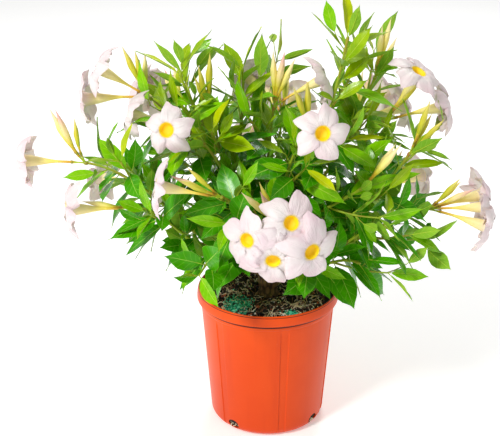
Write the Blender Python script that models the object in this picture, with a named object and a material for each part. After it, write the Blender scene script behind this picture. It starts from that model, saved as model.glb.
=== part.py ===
"""Potted dipladenia: a patio shrub with white trumpet flowers in a round nursery pot.

Metres, +Z up, the origin at the middle of the pot's flat underside. The plant's front is
towards -Y. An azimuth is turned from the front towards +X, so 90 is the right hand side.
"""

import math
import random

import bmesh
import bpy
import numpy as np
from mathutils.bvhtree import BVHTree
from mathutils.kdtree import KDTree

MM = 0.001
UP = np.array([0.0, 0.0, 1.0])
GAP = 0.35 * MM  # what neighbouring solids stay clear of each other

# The pot.
POT_HEIGHT = 216 * MM
LIP_RADIUS = 108 * MM
LIP_DEPTH = 17 * MM
SHOULDER_DEPTH = 26 * MM  # from the pot's top to the small step in its wall
SHOULDER_STEP = 1.2 * MM
WALL_TOP_RADIUS = 101.5 * MM
MOUTH_RADIUS = 103.7 * MM
BASE_RADIUS = 88 * MM
BASE_CORNER = 15 * MM
WALL = 1.8 * MM
FLUTES = 6
FLUTE_DEPTH = 0.9 * MM
FLUTE_HALF_ANGLE = 3.4
FLUTE_STEP_ANGLE = 0.9
FIRST_FLUTE = 14.0
DRAINS = 4
FIRST_DRAIN = 53.0
DRAIN_SIZE = (18 * MM, 13 * MM)
DRAIN_SIDES = 8
MIX_TOP = POT_HEIGHT - 13 * MM
MIX_FALL = 5 * MM  # how far the mix lies lower at the wall than in the middle

# The woody foot and the limbs.
FOOT_FLARE_RADIUS = 19 * MM
FOOT_NECK_RADIUS = 13 * MM
FOOT_SIDES = 14
FOOT_LEAN = 3 * MM
KNOB_RADIUS = 17.5 * MM
KNOB_HEIGHT = 27 * MM
KNOB_SPREAD = 30  # least degrees between two main boughs where they leave the knob
BOUGH_RADIUS = 3.7 * MM
BOUGH_SPLIT = 0.36  # share of the limb that is bare bough, up to its leaves
BOUGH_FACETS = (5, 6)  # parts along it and sides round it
SIDE_BOUGH_RADIUS = 3.0 * MM
SIDE_BOUGH_SPLIT = 0.26
SIDE_BOUGH_FACETS = (3, 5)
FORK_SHARES = (0.30, 0.17)  # where a main bough's first and second side bough leave it
TIP_RADIUS = 1.6 * MM
STEM_PARTS = 5
PATH_STEPS = 48
LIMB_CLEARANCE = 4 * MM
LIMB_TRIES = 15
LIMB_BEND = 14  # degrees that a side bough is turned round its parent at each try

# Leaves, at life size.
LEAF_LENGTH = 84 * MM
LEAF_WIDTH = 0.45  # share of the length
LEAF_RIDGE = 1.9 * MM
RIDGE_RISE = 0.12  # how much higher the ridge is for each metre that the tip hangs down
FULL_EDGE = [(0.31, 0.90), (0.67, 0.76)]  # corners of half the outline, as shares
YOUNG_EDGE = [(0.44, 0.92)]
YOUNG_AGE = 0.5
LEAF_SPREAD = (28, 66)  # degrees from the stem, of the youngest and of a full grown leaf
LEAF_SAG = 0.34  # how far a full grown leaf's direction is pulled down
LEAF_ARCH = 0.26
LEAF_TRIES = 5
INTERNODE = 33 * MM
TIP_CROWDING = 1.35  # over 1 brings the nodes closer together towards the tip
FLOWER_STALK_ROOM = 34 * MM  # bare stem under a head of flowers
TWIG_NODES = (1, 3)
TWIG_REACH = (52 * MM, 84 * MM)
TWIG_RADII = [1.8 * MM, 1.4 * MM]
TWIG_TRIES = 4

# Flowers and buds, at life size.
FLOWER_LENGTH = 92 * MM
FLOWER_RADIUS = 41 * MM
FLOWER_TUBE = [(0.0, 1.4 * MM), (0.50, 2.4 * MM), (0.94, 9.8 * MM)]  # share of length, radius
FLOWER_LOBE = [(-36, 0.42, 0.0), (-20, 0.90, 2.5 * MM), (16, 1.0, 6 * MM)]  # degrees, reach, how far back
THROAT_RADIUS = 8.4 * MM
THROAT_SHARE = 0.78
BUD_LENGTH = 88 * MM
BUD_TUBE = [(0.0, 1.3 * MM), (0.42, 2.0 * MM), (0.72, 5.4 * MM)]
BUD_FAN = 13  # degrees that the buds of one shoot lean apart
HEAD_STEPS = 12
HEAD_TRIES = 8
KNUCKLE_RADIUS = 3.6 * MM

# Fusing.
HAIR = 0.05 * MM
PINCH = 0.0015 * MM
FUSE_TRIES = 12

# Each shoot: where its tip is (azimuth, reach and height in mm), the elevation that the tip
# points at, the shoot whose bough it forks from, the directions of its open flowers as
# (azimuth, elevation), and its buds as (count, azimuth, elevation).
SHOOTS = {
    "left_long": dict(tip=(-84, 264, 424), lean=10, blooms=[(-89, 2)], buds=(3, -100, 74)),
    "left_low": dict(tip=(-72, 202, 368), lean=0, fork="left_long", blooms=[(-78, 4)], buds=(1, -84, 12)),
    "upper_left": dict(tip=(-92, 170, 510), lean=35, blooms=[(-92, 30), (-96, -6)], buds=(3, -98, 78)),
    "top_left": dict(tip=(-88, 126, 552), lean=80, fork="upper_left"),
    "left_face": dict(tip=(-72, 118, 474), lean=35, fork="upper_left", blooms=[(-14, 16), (-106, 8)]),
    "front_left": dict(tip=(-26, 148, 412), lean=22, blooms=[(-86, 12)], buds=(3, -78, 34)),
    "front_left_low": dict(tip=(-50, 136, 302), lean=0, fork="front_left"),
    "top_centre": dict(tip=(60, 8, 498), lean=82, blooms=[(92, 26), (-150, 12)], buds=(4, 70, 79)),
    "centre_left": dict(tip=(-118, 44, 552), lean=80, fork="top_centre"),
    "centre_buds": dict(tip=(-92, 84, 486), lean=70, fork="top_centre", buds=(3, -80, 80)),
    "top_right": dict(tip=(80, 110, 606), lean=80),
    "right_spire": dict(tip=(108, 164, 528), lean=64, fork="top_right", buds=(3, 96, 74)),
    "front_centre": dict(tip=(40, 80, 480), lean=48, blooms=[(9, 14)], buds=(3, -40, 76)),
    "right_mid": dict(tip=(58, 152, 404), lean=36, fork="front_centre", buds=(2, 82, 52)),
    "right_top": dict(tip=(97, 168, 470), lean=40, blooms=[(60, 60), (91, 12)], buds=(1, 96, 50)),
    "right_upper": dict(tip=(80, 203, 440), lean=58, fork="right_top", buds=(3, 86, 62)),
    "right_cluster": dict(
        tip=(81, 232, 356), lean=14, blooms=[(88, 2), (72, -14), (110, 8)], buds=(3, 86, 42)
    ),
    "right_low": dict(tip=(62, 190, 350), lean=8, fork="right_cluster"),
    "right_droop": dict(tip=(50, 168, 302), lean=-10, fork="right_cluster"),
    "front_low": dict(
        tip=(5, 108, 362), lean=16, blooms=[(-31, 5), (14, 24), (30, -4), (-5, -15)], buds=(3, -52, 58)
    ),
    "front_skirt": dict(tip=(32, 118, 296), lean=-20, fork="front_low"),
    "back_left": dict(tip=(-140, 200, 440), lean=30, blooms=[(-142, 8), (-114, 24)], buds=(3, -130, 62)),
    "back_left_low": dict(
        tip=(-116, 205, 340), lean=4, fork="back_left", blooms=[(-120, 0)], buds=(2, -118, 40)
    ),
    "back": dict(tip=(172, 176, 430), lean=30, blooms=[(164, 0), (-162, 8)], buds=(3, 178, 52)),
    "back_low": dict(tip=(-172, 208, 346), lean=4, fork="back", blooms=[(-174, 2)], buds=(2, -170, 44)),
    "back_right": dict(tip=(132, 170, 440), lean=24, blooms=[(100, 10), (138, 16)], buds=(2, 128, 64)),
    "back_right_low": dict(
        tip=(122, 205, 330), lean=2, fork="back_right", blooms=[(124, 4)], buds=(2, 118, 42)
    ),
}

# Colour and roughness of each finish.
FINISHES = {
    "pot_plastic": ((0.86, 0.17, 0.06), 0.38),
    "bark_mix": ((0.035, 0.022, 0.015), 0.95),
    "bark": ((0.17, 0.10, 0.05), 0.80),
    "green_bark": ((0.16, 0.24, 0.05), 0.60),
    "leaf": ((0.07, 0.25, 0.025), 0.42),
    "petal": ((0.92, 0.84, 0.84), 0.50),
    "bud": ((0.86, 0.80, 0.34), 0.50),
}
SPRIG_FINISHES = ("leaf", "petal", "bud")


def clear_scene():
    for obj in list(bpy.data.objects):
        bpy.data.objects.remove(obj, do_unlink=True)


def material(owner, finish):
    """A material of its own for each sub-part that has this finish."""
    colour, roughness = FINISHES[finish]
    made = bpy.data.materials.new(f"{owner} {finish}")
    made.use_nodes = True
    shader = made.node_tree.nodes["Principled BSDF"]
    shader.inputs["Base Color"].default_value = (*colour, 1.0)
    shader.inputs["Roughness"].default_value = roughness
    shader.inputs["Metallic"].default_value = 0.0
    made.diffuse_color = (*colour, 1.0)
    return made


def mesh_object(name, shape, materials, slot=0):
    """One object from (points, faces), whose faces take one of the materials."""
    points, faces = shape
    mesh = bpy.data.meshes.new(name)
    mesh.from_pydata([tuple(p) for p in points], [], faces)
    for made in materials:
        mesh.materials.append(made)
    mesh.polygons.foreach_set("material_index", [slot] * len(faces))
    obj = bpy.data.objects.new(name, mesh)
    bpy.context.scene.collection.objects.link(obj)
    return obj


def unit(v):
    return v / np.linalg.norm(v)


def heading(azimuth, elevation):
    """The direction at these angles, in degrees."""
    a, e = math.radians(azimuth), math.radians(elevation)
    return np.array([math.sin(a) * math.cos(e), -math.cos(a) * math.cos(e), math.sin(e)])


def across(direction):
    """Two unit vectors square to a direction: a level one, and the one nearest to upwards."""
    side = np.cross(direction, UP)
    if np.linalg.norm(side) < 1e-3:
        side = np.array([1.0, 0.0, 0.0])
    side = unit(side)
    return side, unit(np.cross(side, direction))


def turned(v, axis, degrees):
    """The vector turned about an axis."""
    a = math.radians(degrees)
    return v * math.cos(a) + np.cross(axis, v) * math.sin(a) + axis * axis.dot(v) * (1 - math.cos(a))


def evenly(points, count):
    """The same curve as count points at even distances along it."""
    run = np.concatenate([[0], np.cumsum(np.linalg.norm(np.diff(points, axis=0), axis=1))])
    wanted = np.linspace(0, run[-1], count)
    return np.stack([np.interp(wanted, run, points[:, k]) for k in range(3)], axis=1)


def bezier(start, start_way, end, end_way, count):
    """An even curve that leaves the start along start_way and meets the end along end_way."""
    t = np.linspace(0, 1, 60)[:, None]
    a, d = start + start_way, end - end_way
    curve = start * (1 - t) ** 3 + a * 3 * t * (1 - t) ** 2 + d * 3 * t**2 * (1 - t) + end * t**3
    return evenly(curve, count)


def skin(rings):
    """Quads between rings that each hold the same number of points."""
    count = len(rings[0])
    faces = []
    for low, high in zip(rings, rings[1:]):
        for k in range(count):
            n = (k + 1) % count
            ring = [low[k], low[n], high[n], high[k]]
            faces.append([v for j, v in enumerate(ring) if v != ring[j - 1]])
    return faces


def ring_at(centre, way, radius, count, turn=0.0):
    """Points of a circle square to way, counted anticlockwise as seen from its front."""
    side = across(way)[0]
    other = np.cross(way, side)
    angles = [turn + 2 * math.pi * k / count for k in range(count)]
    return [centre + radius * (math.cos(a) * side + math.sin(a) * other) for a in angles]


def lathe(profile, angles, radius_at=None):
    """A closed turned shape: profile runs from a point on the axis to another on the axis.

    radius_at(i, radius, angle) may change the radius of profile point i at an angle.
    """
    points, rings = [], []
    for i, (r, z) in enumerate(profile):
        if r == 0:
            rings.append([len(points)] * len(angles))
            points.append((0.0, 0.0, z))
            continue
        rings.append(list(range(len(points), len(points) + len(angles))))
        for angle in angles:
            here = radius_at(i, r, angle) if radius_at else r
            a = math.radians(angle)
            points.append((here * math.sin(a), -here * math.cos(a), z))
    return points, skin(rings)


def tube(path, radii, sides, foot_normal=None):
    """A capped tube along a path. Its first ring lies in the plane square to foot_normal."""
    path = np.asarray(path)
    tangents = np.gradient(path, axis=0)
    points, rings = [], []
    side = across(unit(tangents[0]))[0]
    for i, (centre, tangent) in enumerate(zip(path, tangents)):
        along = unit(tangent)
        side = unit(side - along * side.dot(along))
        other = np.cross(along, side)
        rings.append(list(range(len(points), len(points) + sides)))
        for k in range(sides):
            a = 2 * math.pi * k / sides
            p = centre + radii[i] * (math.cos(a) * side + math.sin(a) * other)
            if i == 0 and foot_normal is not None:
                p = p - along * (p - centre).dot(foot_normal) / along.dot(foot_normal)
            points.append(p)
    return points, skin(rings) + [rings[0][::-1], rings[-1]]


def join(target, others, operation, solver):
    """Applies one Boolean of the other objects to the target, and removes them."""
    group = bpy.data.collections.new("operands")
    bpy.context.scene.collection.children.link(group)
    for obj in others:
        bpy.context.scene.collection.objects.unlink(obj)
        group.objects.link(obj)
    boolean = target.modifiers.new("join", "BOOLEAN")
    boolean.operand_type = "COLLECTION"
    boolean.collection = group
    boolean.operation = operation
    boolean.solver = solver
    graph = bpy.context.evaluated_depsgraph_get()
    mesh = bpy.data.meshes.new_from_object(target.evaluated_get(graph), depsgraph=graph)
    target.modifiers.clear()
    target.data = mesh
    for obj in others:
        bpy.data.objects.remove(obj, do_unlink=True)
    bpy.data.collections.remove(group)


def keep_main_body(obj):
    """Drops the loose scraps and fills the sealed hollows that fusing leaves."""
    frame = bmesh.new()
    frame.from_mesh(obj.data)
    bmesh.ops.triangulate(frame, faces=frame.faces)
    unseen, bodies = set(frame.faces), []
    while unseen:
        front = [unseen.pop()]
        body = set(front)
        while front:
            for edge in front.pop().edges:
                for face in edge.link_faces:
                    if face in unseen:
                        unseen.remove(face)
                        body.add(face)
                        front.append(face)
        bodies.append(body)
    largest = max(bodies, key=len)
    scraps = [face for body in bodies if body is not largest for face in body]
    bmesh.ops.delete(frame, geom=scraps, context="FACES")
    frame.to_mesh(obj.data)
    frame.free()


def pinched(obj):
    """Whether two corners of the mesh all but touch, which would leave an edge of no thickness."""
    tree = KDTree(len(obj.data.vertices))
    for vert in obj.data.vertices:
        tree.insert(vert.co, vert.index)
    tree.balance()
    return any(len(tree.find_range(vert.co, PINCH)) > 1 for vert in obj.data.vertices)


def pot_angles():
    """Angles round the pot, with an edge on each side of each flute's two steps."""
    sector = 360 / FLUTES
    outer = FLUTE_HALF_ANGLE + FLUTE_STEP_ANGLE
    offsets = [-outer, -FLUTE_HALF_ANGLE, FLUTE_HALF_ANGLE, outer, sector / 4, sector / 2, sector * 3 / 4]
    return [FIRST_FLUTE + sector * k + offset for k in range(FLUTES) for offset in offsets]


def corner(radius, turn, z_low):
    """A point on the rounded edge under the wall, turn degrees up from the flat base."""
    a = math.radians(turn)
    return (radius - BASE_CORNER + BASE_CORNER * math.sin(a), z_low + BASE_CORNER * (1 - math.cos(a)))


def pot_outside():
    """Profile of the outside, from the middle of the base up to the top of the lip."""
    lip_low = POT_HEIGHT - LIP_DEPTH
    shoulder = POT_HEIGHT - SHOULDER_DEPTH
    profile = [(0, 0)]
    profile += [corner(BASE_RADIUS, turn, 0) for turn in (0, 42, 84)]
    profile.append((WALL_TOP_RADIUS, shoulder))
    profile.append((WALL_TOP_RADIUS + SHOULDER_STEP, shoulder + 1 * MM))
    profile.append((WALL_TOP_RADIUS + SHOULDER_STEP, lip_low + 0.5 * MM))
    profile.append((LIP_RADIUS - 0.8 * MM, lip_low))
    profile.append((LIP_RADIUS, lip_low + 4 * MM))
    profile.append((LIP_RADIUS - 2 * MM, POT_HEIGHT))
    return profile


def pot_inside():
    """Profile of the inside, from the lip down to the middle of the floor."""
    profile = [(MOUTH_RADIUS, POT_HEIGHT)]
    profile.append((WALL_TOP_RADIUS + SHOULDER_STEP - WALL, POT_HEIGHT - LIP_DEPTH))
    profile.append((WALL_TOP_RADIUS - WALL, POT_HEIGHT - SHOULDER_DEPTH))
    profile += [corner(BASE_RADIUS - WALL, turn, WALL) for turn in (84, 42, 0)]
    profile.append((0, WALL))
    return profile


def drain_cutter(azimuth):
    """An oval prism through the pot's rounded bottom edge."""
    outward = heading(azimuth, -20)
    middle = corner(BASE_RADIUS, 61, 0)
    centre = heading(azimuth, 0) * middle[0] + UP * middle[1]
    side, rise = across(outward)
    points = []
    for reach in (-3 * WALL, 3 * WALL):
        for k in range(DRAIN_SIDES):
            a = 2 * math.pi * k / DRAIN_SIDES
            oval = side * math.cos(a) * DRAIN_SIZE[0] / 2 - rise * math.sin(a) * DRAIN_SIZE[1] / 2
            points.append(centre + outward * reach + oval)
    inner, outer = list(range(DRAIN_SIDES)), list(range(DRAIN_SIDES, 2 * DRAIN_SIDES))
    return points, skin([inner, outer]) + [inner[::-1], outer]


def make_pot():
    fluted = (2, 3, 4)  # points of the outside profile, below the shoulder
    sector = 360 / FLUTES

    def radius_at(i, radius, angle):
        off = (angle - FIRST_FLUTE + sector / 2) % sector - sector / 2
        return radius - FLUTE_DEPTH if i in fluted and abs(off) < FLUTE_HALF_ANGLE + 0.1 else radius

    plastic = [material("pot", "pot_plastic")]
    pot = mesh_object("pot", lathe(pot_outside() + pot_inside(), pot_angles(), radius_at), plastic)
    azimuths = [FIRST_DRAIN + 360 / DRAINS * k for k in range(DRAINS)]
    cutters = [mesh_object("drain_cutter", drain_cutter(azimuth), plastic) for azimuth in azimuths]
    join(pot, cutters, "DIFFERENCE", "EXACT")
    return pot


def make_mix():
    """The potting mix: fills the pot a gap clear of its wall, with a low mound in the middle."""
    wall_foot, wall_top = pot_inside()[3], pot_inside()[2]
    slope = (wall_top[0] - wall_foot[0]) / (wall_top[1] - wall_foot[1])
    brim = MIX_TOP - MIX_FALL
    profile = [(0, WALL + GAP)]
    profile += [corner(BASE_RADIUS - WALL - GAP, turn, WALL + GAP) for turn in (0, 42, 84)]
    profile.append((wall_foot[0] + slope * (brim - wall_foot[1]) - 1.2 * GAP, brim))
    profile.append((0.7 * WALL_TOP_RADIUS, MIX_TOP - 0.3 * MIX_FALL))
    profile.append((1.5 * FOOT_FLARE_RADIUS, MIX_TOP))
    profile.append((0, MIX_TOP))
    return mesh_object("potting_mix", lathe(profile, pot_angles()), [material("potting_mix", "bark_mix")])


def make_foot():
    """The woody foot: a flat cut on the mix, a lobed flare, a neck and a knob that forks."""
    low = MIX_TOP + GAP
    profile = [(0, low), (FOOT_FLARE_RADIUS, low)]
    profile += [(FOOT_NECK_RADIUS + 2 * MM, low + 4 * MM), (FOOT_NECK_RADIUS, low + 9 * MM)]
    for elevation in (-40, -12, 16, 44, 70):
        a = math.radians(elevation)
        profile.append((KNOB_RADIUS * math.cos(a), low + KNOB_HEIGHT + KNOB_RADIUS * math.sin(a)))
    profile.append((0, low + KNOB_HEIGHT + KNOB_RADIUS))
    lobing = {1: 0.16, 2: 0.10, 3: 0.04}

    def radius_at(i, radius, angle):
        return radius * (1 + lobing.get(i, 0.0) * math.cos(math.radians(5 * angle)))

    points, faces = lathe(profile, [360 / FOOT_SIDES * k for k in range(FOOT_SIDES)], radius_at)
    leant = [(x + FOOT_LEAN * min(1.0, (z - low) / KNOB_HEIGHT), y, z) for x, y, z in points]
    return mesh_object("woody_foot", (leant, faces), [material("woody_foot", "bark")])


def knob_centre():
    return np.array([FOOT_LEAN, 0.0, MIX_TOP + GAP + KNOB_HEIGHT])


def tip_of(shoot):
    azimuth, reach, height = shoot["tip"]
    return heading(azimuth, 0) * reach * MM + UP * height * MM


def knob_directions():
    """Where each main bough leaves the knob: towards its tip, spread so that none crowd."""
    names = [name for name, shoot in SHOOTS.items() if "fork" not in shoot]
    ways = [unit(tip_of(SHOOTS[name]) - knob_centre()) for name in names]
    least = math.radians(KNOB_SPREAD)
    for _ in range(80):
        for i in range(len(ways)):
            for j in range(i):
                angle = math.acos(max(-1.0, min(1.0, float(ways[i].dot(ways[j])))))
                if angle < least:
                    push = (ways[i] - ways[j]) * (least - angle) * 0.5 / max(angle, 0.05)
                    ways[i], ways[j] = unit(ways[i] + push), unit(ways[j] - push)
        ways = [unit(np.array([w[0], w[1], max(w[2], 0.12)])) for w in ways]
    return dict(zip(names, ways))


class Limb:
    """One shoot's path from its fork to its tip, its thickness, and where its leaves begin."""

    def __init__(self, name, start, foot_normal, start_way):
        shoot = SHOOTS[name]
        side = "fork" in shoot
        self.name, self.foot_normal = name, foot_normal
        self.base_radius = SIDE_BOUGH_RADIUS if side else BOUGH_RADIUS
        self.split = SIDE_BOUGH_SPLIT if side else BOUGH_SPLIT
        self.facets = SIDE_BOUGH_FACETS if side else BOUGH_FACETS
        tip = tip_of(shoot)
        reach = np.linalg.norm(tip - start)
        end_way = heading(shoot["tip"][0], shoot["lean"]) * reach * 0.30
        self.path = bezier(start, start_way * reach * 0.34, tip, end_way, PATH_STEPS + 1)
        self.length = float(np.linalg.norm(np.diff(self.path, axis=0), axis=1).sum())

    def at(self, share):
        """The point at a share of the length."""
        place = share * PATH_STEPS
        i = min(int(place), PATH_STEPS - 1)
        return self.path[i] + (self.path[i + 1] - self.path[i]) * (place - i)

    def way(self, share):
        i = min(int(share * PATH_STEPS), PATH_STEPS - 1)
        return unit(self.path[i + 1] - self.path[i])

    def radius(self, share):
        return self.base_radius + (TIP_RADIUS - self.base_radius) * share**0.7

    def piece(self, low, high, parts, sides, foot_normal=None, more=0.0):
        """A tapering tube along part of the path, more metres thicker than the limb."""
        shares = np.linspace(low, high, parts + 1)
        path = [self.at(s) for s in shares]
        return tube(path, [self.radius(s) + more for s in shares], sides, foot_normal)

    def bough(self):
        return self.piece(0, self.split, *self.facets, self.foot_normal)

    def stem(self):
        return self.piece(self.split + GAP / self.length, 1, STEM_PARTS, 3)

    def clear_of(self, room):
        """Whether the limb keeps clear of all that has its place, apart from where it starts."""
        away = self.piece(0.15, 1, 2 * STEM_PARTS, 5, more=LIMB_CLEARANCE)
        return all(room.free(shape) for shape in (away, self.bough(), self.stem()))


class Room:
    """The pieces that have their place so far, so that a new one can be tested against them."""

    def __init__(self):
        self.centres, self.reaches, self.trees, self.owners = [], [], [], []

    def take(self, shape, owner):
        points = np.array(shape[0])
        centre = (points.min(0) + points.max(0)) / 2
        self.centres.append(centre)
        self.reaches.append(np.linalg.norm(points - centre, axis=1).max())
        self.trees.append(BVHTree.FromPolygons([tuple(p) for p in points], shape[1]))
        self.owners.append(owner)

    def free(self, shape, exempt=""):
        """Whether the shape crosses nothing, but for pieces of the exempt sprig."""
        points = np.array(shape[0])
        centre = (points.min(0) + points.max(0)) / 2
        reach = np.linalg.norm(points - centre, axis=1).max()
        apart = np.linalg.norm(np.array(self.centres) - centre, axis=1)
        near = np.nonzero(apart < np.array(self.reaches) + reach)[0]
        tree = BVHTree.FromPolygons([tuple(p) for p in points], shape[1])
        return not any(tree.overlap(self.trees[i]) for i in near if self.owners[i] != exempt)


def grow_limb(name, limbs, knob_ways, forks, room):
    """One limb from the knob or from its parent's side, bent until it is clear of the others."""
    shoot = SHOOTS[name]
    for attempt in range(LIMB_TRIES):
        bend = (attempt + 1) // 2 * (-1) ** attempt
        if "fork" in shoot:
            parent = limbs[shoot["fork"]]
            share = FORK_SHARES[forks.count(shoot["fork"])]
            along, point = parent.way(share), parent.at(share)
            towards = tip_of(shoot) - point
            normal = turned(unit(towards - along * towards.dot(along)), along, LIMB_BEND * bend)
            start = point + normal * (parent.radius(share) + GAP)
            limb = Limb(name, start, normal, unit(normal + along * 0.7))
        else:
            way = knob_ways[name]
            start = knob_centre() + way * (KNOB_RADIUS + GAP)
            limb = Limb(name, start, way, unit(way + 0.12 * bend * across(way)[0]))
        if limb.clear_of(room):
            break
    return limb


def grow_limbs(room):
    """Every limb: the main boughs from the knob, then the side boughs from their sides."""
    limbs, forks, knob_ways = {}, [], knob_directions()
    for name in sorted(SHOOTS, key=lambda shoot: "fork" in SHOOTS[shoot]):
        limbs[name] = grow_limb(name, limbs, knob_ways, forks, room)
        forks.append(SHOOTS[name].get("fork"))
        room.take(limbs[name].bough(), "boughs")
        room.take(limbs[name].stem(), name)
    return limbs


def leaf_shape(root, way, normal, length, arch, edge, start=0.0):
    """A leaf: an arched blade with a low ridge along its top.

    edge holds the corners of one side of its outline, as (share of the length, share of the
    half width), and start is the share of the length at which the shape begins.
    """
    side = unit(np.cross(normal, way))
    normal = np.cross(way, side)
    half = length * LEAF_WIDTH / 2
    outline = [(start, 0), *[(s, -y) for s, y in edge], (1, 0), *edge[::-1]]
    count = len(outline)

    def place(s, across_share, lift=0.0):
        height = lift - arch * length * s**2
        return root + way * s * length + side * across_share * half + normal * height

    ridge = place(0.46, 0, LEAF_RIDGE + RIDGE_RISE * arch * length)
    points = [place(s, y) for s, y in outline] + [ridge]
    faces = [[k, (k + 1) % count, count] for k in range(count)] + [[count - 1, 1, 0]]
    for k in range(1, count // 2 - 1):
        faces.append([k + 1, k, count - k, count - k - 1])
    faces.append([count // 2, count // 2 - 1, count // 2 + 1])
    return points, faces


def rings_along(path, stations, sides, size, roll=0.0):
    """Points and rings of a tube along a path, at stations of (share of the path, radius)."""
    points, rings = [], []
    last = len(path) - 1
    for share, radius in stations:
        i = int(round(share * last))
        way = unit(path[min(i + 1, last)] - path[max(i - 1, 0)])
        rings.append(list(range(len(points), len(points) + sides)))
        points += ring_at(path[i], way, radius * size, sides, roll)
    return points, rings


def flower_shape(path, roll, size):
    """A trumpet along the path: a narrow tube, a flaring throat, and five broad lobes."""
    points, rings = rings_along(path, FLOWER_TUBE, 5, size, roll)
    faces = [rings[0][::-1]] + skin(rings)
    mouth, way = path[-1], unit(path[-1] - path[-3])
    side = across(way)[0]
    other = np.cross(way, side)
    outline = []
    for k in range(5):
        for angle, reach, back in FLOWER_LOBE:
            a = roll + math.radians(72 * k + 36 + angle)
            out = math.cos(a) * side + math.sin(a) * other
            outline.append(len(points))
            points.append(mouth + out * reach * FLOWER_RADIUS * size - way * back)
    throat = list(range(len(points), len(points) + 5))
    points += ring_at(mouth + way * 1.2 * MM, way, THROAT_RADIUS * size, 5, roll)
    deep = len(points)
    points.append(path[int(len(path) * THROAT_SHARE)])
    for k in range(5):
        n = (k + 1) % 5
        edge = [*outline[3 * k : 3 * k + 3], outline[3 * n]]
        for inner, at_front in ((rings[-1], False), (throat, True)):
            fan = [
                [inner[k], edge[1], edge[0]],
                [inner[k], edge[2], edge[1]],
                [inner[k], inner[n], edge[2]],
                [inner[n], edge[3], edge[2]],
            ]
            faces += [face[::-1] if at_front else face for face in fan]
        faces.append([throat[k], throat[n], deep])
    return points, faces


def bud_shape(path, size):
    """A bud along the path: a slim three sided tube that swells into a pointed spindle."""
    points, rings = rings_along(path, BUD_TUBE, 3, size)
    tip = len(points)
    points.append(path[-1])
    last = rings[-1]
    return points, [rings[0][::-1], *skin(rings), *[[last[k], last[(k + 1) % 3], tip] for k in range(3)]]


def knuckle_shape(centre, way, radius):
    """The small swelling at a shoot's tip that the flower stalks leave from."""
    points = [centre - way * radius * 1.2, *ring_at(centre, way, radius, 5), centre + way * radius]
    faces = [[0, 1 + (k + 1) % 5, 1 + k] for k in range(5)]
    faces += [[6, 1 + k, 1 + (k + 1) % 5] for k in range(5)]
    return points, faces


class Sprig:
    """The pieces of one mass of foliage: its stem, twigs, leaves, flowers and buds."""

    def __init__(self, limb):
        self.limb, self.name = limb, limb.name
        self.twigs, self.leaves, self.flowers, self.buds = [], [], [], []


def heads_of(shoot, draw):
    """The flowers and buds of a shoot as (is a flower, azimuth, elevation)."""
    heads = [(True, *bloom) for bloom in shoot.get("blooms", [])]
    count, azimuth, elevation = shoot.get("buds", (0, 0, 0))
    for k in range(count):
        turn = math.radians(360 * k / count + draw.uniform(-20, 20))
        fan = BUD_FAN if count > 1 else 0
        heads.append((False, azimuth + 1.6 * fan * math.cos(turn), elevation + fan * math.sin(turn)))
    return heads


def grow_heads(sprig, room, draw):
    """Open flowers and buds fan out from the shoot's tip."""
    limb = sprig.limb
    heads = heads_of(SHOOTS[sprig.name], draw)
    if heads:
        sprig.twigs.append(knuckle_shape(limb.at(1), limb.way(1), KNUCKLE_RADIUS))
    for is_flower, azimuth, elevation in heads:
        base = limb.at(1) + np.array([draw.uniform(-0.8, 0.8) for _ in range(3)]) * MM
        size = draw.uniform(0.94, 1.06) if is_flower else draw.uniform(0.72, 1.08)
        roll = draw.uniform(0, 2 * math.pi)
        length = (FLOWER_LENGTH if is_flower else BUD_LENGTH) * size
        for _ in range(HEAD_TRIES):
            way = heading(azimuth, elevation)
            leave = unit(limb.way(1) * 0.6 + way)
            mouth = base + (leave * 0.25 + way * 0.75) * length
            path = bezier(base, leave * length * 0.3, mouth, way * length * 0.4, HEAD_STEPS + 1)
            if is_flower:
                shape, tested = flower_shape(path, roll, size), flower_shape(path, roll, size * 1.03)
            else:
                shape, tested = bud_shape(path, size), bud_shape(path, size * 1.2)
            if room.free(tested, exempt=sprig.name):
                (sprig.flowers if is_flower else sprig.buds).append(shape)
                room.take(shape, sprig.name)
                break
            azimuth += draw.uniform(-12, 12)
            elevation += draw.uniform(-9, 9)


def leaf_pair(sprig, room, draw, node, way, turn, age):
    """Two opposite leaves at a node. age is 0 for the youngest, at the tip, and 1 for full grown."""
    side, rise = across(way)
    outer = unit(np.array([node[0], node[1], 0.0]))
    edge = YOUNG_EDGE if age < YOUNG_AGE else FULL_EDGE
    for half in (0, 1):
        young, grown = LEAF_SPREAD
        spread = math.radians(young + (grown - young) * age + draw.uniform(-7, 7))
        length = LEAF_LENGTH * (0.55 + 0.45 * age) * draw.uniform(0.84, 1.12)
        arch = 0.02 + LEAF_ARCH * age * draw.uniform(0.3, 1.0)
        angle = turn + math.pi * half + draw.uniform(-0.25, 0.25)
        root = node + way * draw.uniform(0.3, 0.8) * MM * (1 + half)
        for _ in range(LEAF_TRIES):
            out = math.cos(angle) * side + math.sin(angle) * rise
            leaf_way = unit(way * math.cos(spread) + out * math.sin(spread) - UP * LEAF_SAG * age)
            facing = way * math.sin(spread) - out * math.cos(spread) + UP * (0.3 + 0.8 * age) + outer * 0.7
            facing = unit(facing - leaf_way * facing.dot(leaf_way))
            leaf = leaf_shape(root, leaf_way, facing, length, arch, edge)
            tested = leaf_shape(root, leaf_way, facing, length, arch, edge, start=0.12)
            if room.free(tested) and room.free(leaf, exempt=sprig.name):
                sprig.leaves.append(leaf)
                room.take(leaf, sprig.name)
                break
            angle += draw.uniform(0.35, 0.7)
            length *= 0.95


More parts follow.
